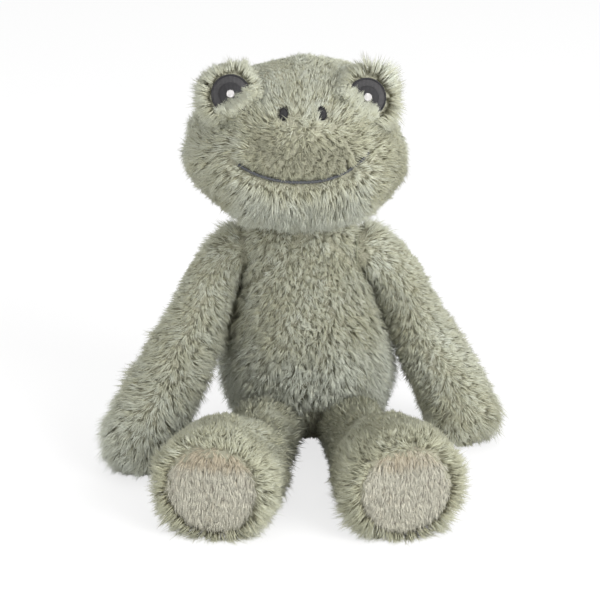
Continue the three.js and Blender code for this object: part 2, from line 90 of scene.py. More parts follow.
CROWN = HEAD_LOW + HEAD_SIZE["height"]
NECK = np.array([-4.0, 14.0, 146.0])
NECK_RADIUS = 17.0

# Eye mounds and their embroidery, in the head's frame
MOUND_RADIUS = 15.6
MOUND_DOME = 22.0
MOUND_LENGTH = 36.0
MOUND_SPREAD = 38.2
MOUND_AHEAD = 32.0
MOUND_BELOW_CROWN = {"left": 9.5, "right": 12.6}
MOUND_TILT = np.radians(18)
MOUND_OUTWARD = np.radians(6)
MOUND_FRONT_SHARES = np.array([[0, 0], [0.4, -0.05], [0.78, -0.17], [0.95, -0.34], [1, -0.6]])
MOUND_BACK_SHARES = np.array([[0, 1], [0.5, 0.93], [0.87, 0.7], [1, 0.42]])
EYE_RADIUS = 10.2
PUPIL_RADIUS = 6.0
HIGHLIGHT_RADIUS = 1.9
EYE_COVER_INSET = 0.8
EYE_FILLING_INSET = 3.2

# Pile on the mounds: how long it is on their inner sides and what their outer sides add, and tufts
# by their place outward, width and length
MOUND_PILE = 5.0
OUTER_MOUND_PILE = {"left": 5.0, "right": 6.4}
MOUND_TUFTS = {"left": ((-6, 6, 4.0), (6, 6, -2.6)), "right": ((2, 12, 2.1),)}

# The lid of pile over part of each eye: the way to the viewer's right and up that it comes from,
# how far from the eye's middle it ends, and the angles and the band that its roots cover
LID_FROM = {"left": (0.52, -0.85), "right": (-0.67, -0.74)}
LID_EDGE = {"left": 2.2, "right": 0.6}
LID_ANGLES = {"left": (-1.1, 1.3), "right": (-1.3, 1.15)}
LID_INNER = EYE_RADIUS - 0.9
LID_BAND = 8.5
LID_CLUMPS = 380
LID_STRANDS = 10

# Nostrils and mouth, whose middle lies a little to the right of the head's. The profile gives a
# nostril's reach as a share and its height at each place
FACE_SIDE = 1.8
FACE_MIDDLE = np.array([HEAD_SIDE + FACE_SIDE, HEAD_DEPTH, 0])
NOSTRIL_SPREAD = 10.7
NOSTRIL_BELOW_CROWN = 21.4
NOSTRIL_HALF_WIDTH = 2.3
NOSTRIL_HALF_HEIGHT = 4.0
NOSTRIL_PROFILE = np.array([
    [0, -0.6],
    [0.7, -0.6],
    [1, -0.1],
    [1, 0.5],
    [0.8, 1.1],
    [0.45, 1.5],
    [0, 1.6],
])
MOUTH_HALF_WIDTH = 36.5
MOUTH_BELOW_CROWN = 55.4
MOUTH_LEFT_RISE = 8.5
MOUTH_RIGHT_RISE = 13.0
MOUTH_CURL = 2.3

# Body: height, half-width, front, back and lean as shares
BODY_SHARES = np.array([
    [0, 0, -0.16, 0.15, 0],
    [0.005, 0.6, 0.386, 0.66, 0],
    [0.022, 0.77, 0.52, 0.79, 0],
    [0.07, 0.9, 0.73, 0.915, 0],
    [0.16, 0.98, 0.886, 0.98, 0.05],
    [0.3, 1, 1, 1, 0.15],
    [0.44, 0.97, 1, 0.96, 0.3],
    [0.58, 0.88, 0.93, 0.87, 0.45],
    [0.71, 0.78, 0.82, 0.72, 0.6],
    [0.82, 0.73, 0.73, 0.55, 0.75],
    [0.9, 0.67, 0.66, 0.38, 0.9],
    [0.955, 0.54, 0.59, 0.21, 1],
    [0.99, 0.25, 0.45, -0.02, 1],
    [1, 0, 0.25, -0.234, 1],
])
BODY_SIZE = {"height": 144.5, "half_width": 48.5, "front": 44.0, "back": 47.0, "lean": -4.0}
BODY_BEHIND = 25.0
SEAT_DIP = 0.5
BODY_PLACE = np.array([0.0, BODY_BEHIND, -SEAT_DIP])
BODY_PILE = 9.0
WAIST = 62.0

# Arms
ARM_RADIUS = 20.6
ARM_OUT = {"left": 64.0, "right": 65.5}
ARM_ROOT_DEPTH = 6.0
SHOULDERS = {"left": np.array([-34.0, 20.0, 118.5]), "right": np.array([28.0, 20.0, 118.5])}
HAND_AHEAD = {"left": 59.0, "right": 16.0}
ELBOW_BEHIND = {"left": 0.0, "right": 10.0}
ARM_ROUTE_SHARES = np.array([
    [0, 0, 0],
    [0.15, 0.01, 0.01],
    [0.35, 0.13, 0.13],
    [0.49, 0.32, 0.345],
    [0.7, 0.58, 0.61],
    [0.89, 0.83, 0.85],
    [1, 1, 1],
])
ARM_SHARES = np.array([
    [0, 0],
    [0.008, 0.32],
    [0.03, 0.56],
    [0.07, 0.645],
    [0.13, 0.66],
    [0.3, 0.72],
    [0.5, 0.8],
    [0.68, 0.9],
    [0.82, 0.99],
    [0.9, 0.96],
    [0.96, 0.74],
    [0.99, 0.38],
    [1, 0],
])

# Legs
LEG_RADIUS = 31.0
LEG_ROOT_RADIUS = 17.0
LEG_REACH = 122.0
LEG_SPLAY = 28.0
HIPS = {"left": np.array([-26.0, -12.0, 16.5]), "right": np.array([26.0, -12.0, 16.5])}
SOLE_RADIUS = 24.5
LEG_ROUTE_SHARES = np.array([
    [0, 0, 0],
    [0.2, 0.25, 0.03],
    [0.42, 0.45, 0.2],
    [0.6, 0.6, 0.5],
    [0.78, 0.76, 0.86],
    [0.93, 0.92, 1],
    [1, 1, 1],
])
LEG_SHARES = np.array([
    [0, 0],
    [0.015, 0.27],
    [0.05, 0.46],
    [0.12, 0.565],
    [0.3, 0.575],
    [0.46, 0.65],
    [0.6, 0.83],
    [0.73, 0.98],
    [0.84, 1],
    [0.93, 0.98],
    [0.972, 0.9],
    [0.983, 0.8],
    [0.993, 0.55],
    [1, 0],
])

# The sole's cushion: how far it reaches, and its reach as a share and its height at each place
SOLE_REACH = SOLE_RADIUS - 0.3
SOLE_PROFILE = np.array([
    [0, -6.0],
    [0.55, -6.0],
    [0.9, -6.2],
    [1, -5.2],
    [0.985, -3.6],
    [0.93, -2.3],
    [0.8, -1.2],
    [0.55, -0.4],
    [0.28, -0.1],
    [0, 0],
])

# Pile on the limbs: how long it is on the arm, and what other places add to it or cut from it
ARM_PILE = {"left": 9.8, "right": 7.4}
SHOULDER_PILE = 7.2
HAND_PILE = {"left": 2.4, "right": 5.0}
INNER_ARM_PILE = {"left": 2.6, "right": 3.8}
OUTER_ARM_PILE = {"left": 2.6, "right": 1.2}
SHIN_PILE = 8.8
INNER_SHIN_PILE = {"left": 5.2, "right": -1.0}
INNER_FOOT_PILE = {"left": 0.8, "right": 3.6}
UPPER_FOOT_CUT = {"left": 4.2, "right": 2.8}

# Where kinds of pile end: behind the sole's middle, and beside the back seam
FRINGE_START = -24
SHIN_END = -38
SOLE_PILE_END = -4.6
SEAM_GAP = 1.6

# What the camera looks at, and the floor's reach in metres
STAGE_TARGET = np.array([-4.8, 0.0, 93.0])
FLOOR_REACH = 4.0

# Shades from 0, the darkest tint, to 1, the lightest: painted light on the left hand and shade on the
# right one, the shin's own, and the painted shade that the band under the sole's upper rim takes off
HAND_PAINTED_LIGHT_AND_SHADE = {"left": 0.15, "right": -0.07}
SHIN_SHADE = {"left": 0.45, "right": 0.39}
SOLE_RIM_PAINTED_SHADE = {"left": 0.65, "right": 0.35}

# How far a filling lies inside its solid's surface, past its cover
FILLING_DEPTH = 2.5

# How square the rings of the head and body are, where 2 is an ellipse
RING_EXPONENT = 2.25

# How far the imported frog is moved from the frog's own frame, as its neck shows, in millimetres
SHIFT = np.array(sum(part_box("neck_filling"), Vector())) / 2 / MM - NECK


def linear(red, green, blue):
    """A colour as a screen shows it, 0 to 255, as the linear values that a shader takes."""
    screen = np.array([red, green, blue]) / 255
    low = screen / 12.92
    high = ((screen + 0.055) / 1.055) ** 2.4
    return tuple(float(value) for value in np.where(screen <= 0.04045, low, high))


def unit(vectors):
    """Each row at length one."""
    length = np.linalg.norm(vectors, axis=-1, keepdims=True)
    return vectors / np.maximum(length, 1e-9)


def along(vectors, others):
    """The dot product of matching rows, as a column."""
    return np.sum(vectors * others, axis=-1, keepdims=True)


def rise(values, low, high):
    """0 up to low, 1 from high, and a smooth step between them."""
    share = np.clip((values - low) / (high - low), 0, 1)
    return share * share * (3 - 2 * share)


def bump_at(values, middle, width):
    """A bell that is 1 at its middle and falls to a third a width away."""
    return np.exp(-(((values - middle) / width) ** 2))


def smooth_through(rows, at):
    """The Catmull-Rom curve through the rows, at places from 0 to 1."""
    spans = len(rows) - 1
    place = np.clip(at, 0, 1) * spans
    first = np.minimum(place.astype(int), spans - 1)
    x = (place - first)[:, None]
    padded = np.vstack([2 * rows[0] - rows[1], rows, 2 * rows[-1] - rows[-2]])
    before, start, end, after = (padded[first + step] for step in range(4))
    square = (2 * before - 5 * start + 4 * end - after) * x**2
    cube = (3 * start - before - 3 * end + after) * x**3
    return 0.5 * (2 * start + (end - before) * x + square + cube)


def columns_at(places, known, values):
    """Each column of values, read between its known places."""
    return np.stack([np.interp(places, known, column) for column in values.T], axis=-1)


def broad_noise(points, seed, wavelength):
    """A smooth wandering value, about -1 to 1: the mean of a few sine waves through space."""
    rng = np.random.default_rng(seed)
    waves = unit(rng.normal(size=(7, 3))) * rng.uniform(0.6, 1.5, (7, 1)) * 2 * np.pi / wavelength
    phases = rng.uniform(0, 2 * np.pi, 7)
    return np.sin(points @ waves.T + phases).mean(axis=-1) * 1.9


def pressed(heights):
    """Heights kept off the floor: those under the pressed pile's are squeezed between it and the gap."""
    room = PRESSED_PILE - FLOOR_GAP
    squeezed = FLOOR_GAP + room * np.exp((np.minimum(heights, PRESSED_PILE) - PRESSED_PILE) / room)
    return np.where(heights < PRESSED_PILE, squeezed, heights)


# Shapes: each is a function of s, from one pole to the other, and t, once around


def upright_ring(shares, size, inset, s):
    """The ring of an upright form at s: its middle, half-width and half-depth."""
    height, width, front, back, lean = smooth_through(shares, s).T
    front_edge = -front * (size["front"] - inset)
    back_edge = back * (size["back"] - inset)
    middle = np.column_stack([
        lean * size["lean"],
        (front_edge + back_edge) / 2,
        inset + height * (size["height"] - 2 * inset),
    ])
    half_width = np.maximum(width, 0) * (size["half_width"] - inset)
    half_depth = np.maximum(back_edge - front_edge, 0) / 2
    return middle, half_width, half_depth


def upright_shape(shares, size, inset, place):
    """A stack of rounded rings: each is the curve |x/w|^e + |y/d|^e = 1 at its height."""

    def shape(s, t):
        middle, half_width, half_depth = upright_ring(shares, size, inset, s)
        cosine, sine = np.cos(2 * np.pi * t), np.sin(2 * np.pi * t)
        across = np.sign(cosine) * np.abs(cosine) ** (2 / RING_EXPONENT) * half_width
        deep = np.sign(sine) * np.abs(sine) ** (2 / RING_EXPONENT) * half_depth
        return middle + place + np.column_stack([across, deep, np.zeros_like(across)])

    return shape


def route_table(route):
    """A route cut finely: its points, their distance along it and its direction at each."""
    fine = smooth_through(route, np.linspace(0, 1, 500))
    steps = np.linalg.norm(np.diff(fine, axis=0), axis=1)
    travelled = np.concatenate([[0], np.cumsum(steps)])
    return fine, travelled, unit(np.gradient(fine, axis=0))


def limb_shape(route, sideways, shares, radius, place, inset):
    """Round rings square to a route, with the radius that the table gives at each place on it."""
    fine, travelled, directions = route_table(route)
    length = travelled[-1]

    def shape(s, t):
        where, share = smooth_through(shares, s).T
        wanted = inset + where * (length - 2 * inset)
        held = np.clip(wanted, 0, length)
        forward = unit(columns_at(held, travelled, directions))
        middle = columns_at(held, travelled, fine) + forward * (wanted - held)[:, None]
        across = unit(np.cross(sideways, forward))
        upward = np.cross(forward, across)
        reach = np.maximum(share, 0)[:, None] * (radius - inset)
        angle = (2 * np.pi * t)[:, None]
        return place + middle + reach * (np.cos(angle) * across + np.sin(angle) * upward)

    return shape


def lathe_shape(profile, frame_axes, place):
    """A profile of reach and height turned round the last of three axes."""

    def shape(s, t):
        reach, height = smooth_through(profile, s).T
        angle = (2 * np.pi * t)[:, None]
        out = np.cos(angle) * frame_axes[0] + np.sin(angle) * frame_axes[1]
        return place + np.maximum(reach, 0)[:, None] * out + height[:, None] * frame_axes[2]

    return shape


def facing(shape, s, t):
    """The cross product of the shape's two slopes at each place, at length one."""
    step = 1e-3
    low, high = np.clip(s - step, 0, 1), np.clip(s + step, 0, 1)
    down = shape(high, t) - shape(low, t)
    around = shape(s, t + step) - shape(s, t - step)
    return unit(np.cross(down, around))


def outward_sign(shape):
    """1 where the slopes' cross product points out of the shape, -1 where it points in."""
    t = np.arange(12) / 12
    s = np.full(12, 0.5)
    points = shape(s, t)
    return np.sign(along(facing(shape, s, t), points - points.mean(axis=0)).sum())


def normals_of(shape, s, t):
    """The directions that point out of the shape."""
    return facing(shape, s, t) * outward_sign(shape)


def raised_shape(shape, relief):
    """The shape moved along its own normals by the relief at each point."""

    def raised(s, t):
        points = shape(s, t)
        return points + normals_of(shape, s, t) * relief(points)[:, None]

    return raised


# Places on the frog


def from_head(points):
    """Points of the head's frame in the frog's frame: turned by the head's yaw about the neck."""
    cosine, sine = np.cos(HEAD_YAW), np.sin(HEAD_YAW)
    x, y, z = np.moveaxis(np.asarray(points, float), -1, 0)
    return np.stack([cosine * x - sine * y, sine * x + cosine * y, z], axis=-1) + NECK


def to_head(points):
    """Points of the frog's frame in the head's frame."""
    cosine, sine = np.cos(HEAD_YAW), np.sin(HEAD_YAW)
    x, y, z = np.moveaxis(np.asarray(points, float) - NECK, -1, 0)
    return np.stack([cosine * x + sine * y, cosine * y - sine * x, z], axis=-1)


def node_corners(node):
    """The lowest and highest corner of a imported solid, in the frog's frame."""
    return [np.array(corner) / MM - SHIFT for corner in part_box(node)]


def mouth_height(x):
    """The height of the smile at x from the middle of the face, in the head's frame."""
    corner_rise = np.where(x < 0, MOUTH_LEFT_RISE, MOUTH_RIGHT_RISE)
    return CROWN - MOUTH_BELOW_CROWN + corner_rise * np.abs(x / MOUTH_HALF_WIDTH) ** MOUTH_CURL


def face_places(points, beyond=6):
    """Across, ahead and height in the head's frame, and the height above the mouth.

    The mouth's curve is held level from a little beyond its corners.
    """
    x, y, z = (to_head(points) - FACE_MIDDLE).T
    reach = MOUTH_HALF_WIDTH + beyond
    return x, y, z, z - mouth_height(np.clip(x, -reach, reach))


def head_relief(points):
    """A crease along the mouth, a muzzle and chin fuller round it, and a swelling by each eye."""
    x, y, z, above = face_places(points, 8)
    across = 1 - rise(np.abs(x), MOUTH_HALF_WIDTH - 4, MOUTH_HALF_WIDTH + 8)
    crease = -2.2 * bump_at(above, 0, 3.2) * across
    lips = 1.1 * bump_at(above, 8, 6) + 1.3 * bump_at(above, -9, 7)
    muzzle = 1.8 * bump_at(x, 0, 22) * bump_at(z, CROWN - 30, 14)
    brow = -1.5 * bump_at(np.abs(x), 24, 7) * bump_at(z, CROWN - 8, 9)
    relief = rise(-y, 8, 30) * (crease + lips + muzzle + brow)
    for side, direction in SIDES.items():
        _, top = eye_axes(side)
        beside_eye = top - 9.5 * direction * RIGHT - 11.0 * UP
        apart = np.linalg.norm((points - beside_eye) * [1.0, 0.5, 1.0], axis=1)
        relief += 2.4 * bump_at(apart, 0, 8.0)
    return relief


def head_shape(inset):
    """The head's rounded stack, set on the neck and turned, with its muzzle's relief."""
    plain = upright_shape(HEAD_SHARES, HEAD_SIZE, inset, HEAD_PLACE)
    return raised_shape(lambda s, t: from_head(plain(s, t)), head_relief)


def body_shape(inset):
    """The pear-shaped stack of the body on its seat."""
    return upright_shape(BODY_SHARES, BODY_SIZE, inset, BODY_PLACE)


def arm_route(side):
    """From inside the shoulder, through the elbow, to the tip of the hand."""
    out, ahead, down = ARM_ROUTE_SHARES.T
    points = np.column_stack([
        SIDES[side] * ARM_OUT[side] * out,
        ELBOW_BEHIND[side] * np.sin(np.pi * down) - HAND_AHEAD[side] * ahead,
        -(SHOULDERS[side][2] - ARM_RADIUS + SEAT_DIP) * down,
    ])
    root = np.array([-SIDES[side] * ARM_ROOT_DEPTH, 0.0, 0.0])
    tip = points[-1] + unit(points[-1] - points[-2]) * ARM_RADIUS
    return np.vstack([root, points, tip])


def arm_shape(side, inset):
    """An arm from inside the shoulder to the rounded hand."""
    return limb_shape(arm_route(side), BACKWARD, ARM_SHARES, ARM_RADIUS, SHOULDERS[side], inset)


def leg_route(side):
    """From inside the hip, forward and out along the floor, to the middle of the sole."""
    out, ahead, lift = LEG_ROUTE_SHARES.T
    points = np.column_stack([
        SIDES[side] * LEG_SPLAY * out,
        -LEG_REACH * ahead,
        (LEG_RADIUS - LEG_ROOT_RADIUS) * lift,
    ])
    return np.vstack([[0.0, LEG_ROOT_RADIUS, 0.0], points])


def leg_shape(side, inset):
    """A leg from inside the hip to the flat end that the sole closes."""
    return limb_shape(leg_route(side), RIGHT, LEG_SHARES, LEG_RADIUS, HIPS[side], inset)


def axes_along(forward):
    """Across and up, both square to a forward direction, and that direction."""
    across = unit(np.cross(forward, UP))
    return np.array([across, np.cross(across, forward), forward])


def sole_axes(side):
    """Across, up and forward at a sole, and the middle of the sole."""
    ankle, sole = leg_route(side)[-2:]
    return axes_along(unit(sole - ankle)), HIPS[side] + sole


def eye_axes(side):
    """Across, up and forward at an eye, and the top of its dome."""
    tilt, out = MOUND_TILT, MOUND_OUTWARD * SIDES[side]
    forward = np.array([np.sin(out) * np.cos(tilt), -np.cos(out) * np.cos(tilt), np.sin(tilt)])
    top = from_head([
        HEAD_SIDE + SIDES[side] * MOUND_SPREAD,
        HEAD_DEPTH - MOUND_AHEAD,
        CROWN - MOUND_BELOW_CROWN[side],
    ])
    return axes_along(from_head(forward) - from_head(np.zeros(3))), top


def mound_front(off_axis):
    """How far the dome of a mound stands from its top's height, at a distance off its axis."""
    return np.interp(off_axis / MOUND_RADIUS, *MOUND_FRONT_SHARES.T) * MOUND_RADIUS


def mound_shape(side, inset):
    """A stubby dome turned about the eye's line of sight, rounded at its back."""
    radius, length = MOUND_RADIUS - inset, MOUND_LENGTH - inset
    profile = np.vstack([
        MOUND_BACK_SHARES * [radius, -length],
        MOUND_FRONT_SHARES[::-1] * [radius, MOUND_RADIUS] - [0, inset],
    ])
    return lathe_shape(profile, *eye_axes(side))


# What is buried in what


def inside_upright(points, shares, size, depth, place):
    """True for points deeper than that in an upright form."""
    middle, half_width, half_depth = upright_ring(shares, size, depth, np.linspace(0, 1, 300))
    local = points - place
    order = np.argsort(middle[:, 2])
    x0, y0, width, depth = (
        np.interp(local[:, 2], middle[order, 2], values[order], left=0, right=0)
        for values in (middle[:, 0], middle[:, 1], half_width, half_depth)
    )
    x = np.abs(local[:, 0] - x0) / np.maximum(width, 1e-3)
    y = np.abs(local[:, 1] - y0) / np.maximum(depth, 1e-3)
    return x**RING_EXPONENT + y**RING_EXPONENT < 1


def inside_limb(points, route, shares, radius, place):
    """True for points that are nearer to a limb's route than its radius there."""
    fine, travelled, _ = route_table(route)
    fine, where = fine[::6] + place, travelled[::6] / travelled[-1]
    table = smooth_through(shares, np.linspace(0, 1, 200))
    reach = np.interp(where, table[:, 0], table[:, 1]) * radius
    apart = np.linalg.norm(points[:, None, :] - fine[None, :, :], axis=2)
    return np.any(apart < reach, axis=1)


def inside_head(points, depth):
    """True for points deeper than that in the head."""
    return inside_upright(to_head(points), HEAD_SHARES, HEAD_SIZE, depth, HEAD_PLACE)


def inside_body(points, depth):
    """True for points deeper than that in the body."""
    return inside_upright(points, BODY_SHARES, BODY_SIZE, depth, BODY_PLACE)


def inside_arm(points, side, depth):
    """True for points deeper than that in an arm."""
    return inside_limb(points, arm_route(side), ARM_SHARES, ARM_RADIUS - depth, SHOULDERS[side])


def inside_leg(points, side, depth):
    """True for points deeper than that in a leg."""
    return inside_limb(points, leg_route(side), LEG_SHARES, LEG_RADIUS - depth, HIPS[side])


def inside_mound(points, side, depth):
    """True for points deeper than that in an eye mound."""
    axes, top = eye_axes(side)
    local = (points - top) @ axes.T
    off_axis = np.hypot(local[:, 0], local[:, 1])
    inside = (local[:, 2] < mound_front(off_axis) - depth) & (local[:, 2] > -MOUND_LENGTH)
    return inside & (off_axis < MOUND_RADIUS - depth)


def inside_either(inside, points, depth):
    """True for points inside the left or the right one of a pair."""
    return inside(points, "left", depth) | inside(points, "right", depth)


# Meshes


def add_mesh(name, points, corners, starts, material, uvs=None, smooth=True):
    """A mesh object from points in millimetres, the corners of its faces and their starts."""
    mesh = bpy.data.meshes.new(name)
    mesh.vertices.add(len(points))
    mesh.vertices.foreach_set("co", ((points + SHIFT) * MM).astype(np.float32).ravel())
    mesh.loops.add(len(corners))
    mesh.loops.foreach_set("vertex_index", corners.astype(np.int32))
    mesh.polygons.add(len(starts))
    mesh.polygons.foreach_set("loop_start", starts.astype(np.int32))
    mesh.polygons.foreach_set("use_smooth", np.full(len(starts), smooth))
    if uvs is not None:
        mesh.uv_layers.new(name="OFBake").uv.foreach_set("vector", uvs.astype(np.float32).ravel())
    mesh.update(calc_edges=True)
    mesh.materials.append(material)
    piece = bpy.data.objects.new(name, mesh)
    bpy.context.scene.collection.objects.link(piece)
    return piece


def closed_piece(name, shape, rows, columns, material):
    """A closed surface: rings of the shape from pole to pole, each pole one point."""
    s = np.repeat(np.arange(1, rows) / rows, columns)
    t = np.tile(np.arange(columns) / columns, rows - 1)
    ends = shape(np.array([0.0, 1.0]), np.zeros(2))
    points = np.vstack([shape(s, t), ends])
    points[:, 2] = np.maximum(points[:, 2], PRESSED_PILE)
    column = np.arange(columns)
    following = (column + 1) % columns
    low = np.repeat(np.arange(rows - 2) * columns, columns)
    left, right = np.tile(column, rows - 2), np.tile(following, rows - 2)
    quads = np.column_stack([low + left, low + columns + left, low + columns + right, low + right])
    last = (rows - 2) * columns
    first_pole = np.full(columns, len(points) - 2)
    last_pole = np.full(columns, len(points) - 1)
    triangles = np.vstack([
        np.column_stack([column, following, first_pole]),
        np.column_stack([last + following, last + column, last_pole]),
    ])
    if outward_sign(shape) < 0:
        quads, triangles = quads[:, ::-1], triangles[:, ::-1]
    corners = np.concatenate([quads.ravel(), triangles.ravel()])
    starts = np.concatenate([
        np.arange(len(quads)) * 4,
        len(quads) * 4 + np.arange(len(triangles)) * 3,
    ])
    return add_mesh(name, points, corners, starts, material)


THREAD_PLIES = 2
THREAD_SIDES = 9
THREAD_GROOVE = 0.38


def tube_piece(name, path, radius, material, turns, closed=False):
    """A thread along a path: a section with a lobe for each ply, which turns as it goes."""
    count, sides = len(path), THREAD_SIDES
    ring_count = count if closed else count - 1
    if closed:
        ahead = unit(np.roll(path, -1, axis=0) - np.roll(path, 1, axis=0))
    else:
        ahead = unit(np.gradient(path, axis=0))
    across = unit(np.cross(ahead, UP + 0.13 * ahead[:, ::-1]))
    upward = np.cross(across, ahead)
    turn = 2 * np.pi * turns * np.arange(count)[:, None] / ring_count
    around = 2 * np.pi * np.arange(sides) / sides
    reach = radius * (1 - THREAD_GROOVE * (0.5 + 0.5 * np.cos(THREAD_PLIES * (around - turn))))
    out = np.cos(around)[:, None] * across[:, None] + np.sin(around)[:, None] * upward[:, None]
    points = (path[:, None] + reach[..., None] * out).reshape(-1, 3)
    low = np.repeat(np.arange(ring_count) * sides, sides)
    high = np.repeat(((np.arange(ring_count) + 1) % count) * sides, sides)
    left = np.tile(np.arange(sides), ring_count)
    right = (left + 1) % sides
    quads = np.column_stack([low + left, high + left, high + right, low + right])
    corners, starts = quads.ravel(), np.arange(len(quads)) * 4
    if not closed:
        first = np.arange(sides)
        last = (count - 1) * sides + np.arange(sides)[::-1]
        corners = np.concatenate([corners, first, last])
        starts = np.concatenate([starts, [len(quads) * 4, len(quads) * 4 + sides]])
    return add_mesh(name, points, corners, starts, material)


# Pile


def cell_areas(shape, cells):
    """The areas of a shape's cells, so many each way: half the cross product of the diagonals."""
    s, t = np.meshgrid(np.arange(cells + 1) / cells, np.arange(cells + 1) / cells, indexing="ij")
    grid = shape(s.ravel(), t.ravel()).reshape(cells + 1, cells + 1, 3)
    one = grid[1:, 1:] - grid[:-1, :-1]
    other = grid[1:, :-1] - grid[:-1, 1:]
    return np.linalg.norm(np.cross(one, other), axis=2) / 2


def scatter(shape, count, rng):
    """Places spread evenly over a shape's area: a stratified draw from its cells' areas."""
    cells = 220
    total = np.cumsum(cell_areas(shape, cells).ravel())
    wanted = (np.arange(count) + rng.random(count)) / count * total[-1]
    picked = np.minimum(np.searchsorted(total, wanted), cells * cells - 1)
    row, column = np.divmod(picked, cells)
    return (row + rng.random(count)) / cells, (column + rng.random(count)) / cells


def count_on(shape, density):
    """How many clumps or strands lie on a shape, at so many to the square metre."""
    return int(float(cell_areas(shape, 80).sum()) * MM * MM * density)


# A strand's ring: its angles, half-width, half-thickness and the place of each point along v
RING_ANGLES = np.pi / 2 + 2 * np.pi * np.arange(3) / 3
BLADE_ACROSS = 0.5
BLADE_THROUGH = 0.17
BLADE_ALONG = np.array([0.02, 0.5, 0.5, 0.5, 0.98])
TINTS = 64

# The shortest pile that is laid, how deep its roots stand in the cloth, and how far clumps and
# strands vary in how they stand off it, in radians, in length, in width and in tint
SHORTEST_PILE = 0.8
ROOT_DEPTH = 0.9
CLUMP_LIFTS = (0.12, 1.35)
STRAND_LIFTS = (0.08, 1.4)
CLUMP_LENGTHS = (0.55, 1.35)
STRAND_LENGTHS = (0.72, 1.08)
STRAND_WIDTHS = (0.7, 1.2)
TINT_LIMITS = (0.02, 0.98)
CLUMP_TINT = 0.07
STRAND_TINT = 0.04
STRAND_DRIFT = 0.15


def strands_piece(name, roots, bends, tips, normals, widths, tints, material):
    """Closed blades: a point at the root, a three-sided ring by the bend and a point at the tip.

    In the UV map u is the strand's tint, in one of 64 columns, and v runs from root to tip.
    """
    count = len(roots)
    middles = 0.3 * roots + 0.45 * bends + 0.25 * tips
    ahead = unit(tips - roots)
    across = unit(np.cross(normals, ahead)) * widths[:, None] * BLADE_ACROSS
    through = unit(np.cross(ahead, across)) * widths[:, None] * BLADE_THROUGH
    ring = [middles + np.cos(angle) * across + np.sin(angle) * through for angle in RING_ANGLES]
    points = np.stack([roots, *ring, tips], axis=1)
    points[..., 2] = pressed(points[..., 2])
    sides = np.arange(3)
    following = (sides + 1) % 3
    faces = np.vstack([
        np.column_stack([1 + sides, 1 + following, np.full(3, 4)]),
        np.column_stack([1 + following, 1 + sides, np.zeros(3, int)]),
    ])
    low, high, between = sides / 3, (sides + 1) / 3, (sides + 0.5) / 3
    u_row = np.concatenate([
        np.column_stack([low, high, between]).ravel(),
        np.column_stack([high, low, between]).ravel(),
    ])
    v_row = BLADE_ALONG[faces.ravel()]
    corners = (faces.ravel()[None, :] + points.shape[1] * np.arange(count)[:, None]).ravel()
    starts = 3 * np.arange(len(faces) * count)
    column = np.clip((tints * TINTS).astype(int), 0, TINTS - 1)
    u = (column[:, None] + 0.1 + 0.8 * u_row[None, :]) / TINTS
    v = np.broadcast_to(v_row, u.shape)
    uvs = np.stack([u, v], axis=-1).reshape(-1, 2)
    return add_mesh(name, points.reshape(-1, 3), corners, starts, material, uvs)


def lay_both(shape, rng, flow, length, lift, rules):
    """Clumps of strands and, between them, single strands that fill the cloth."""
    look = bpy.context.scene.frog_pile
    thickness = rules["thickness"]
    clumps = count_on(shape, thickness * look.density)
    singles = count_on(shape, thickness * look.singles)
    clumped = lay_pile(shape, rng, clumps, flow, length, lift, rules)
    single = lay_pile(shape, rng, singles, flow, length, lift, {**rules, **ALONE})
    return [np.concatenate(pair) for pair in zip(clumped, single)]


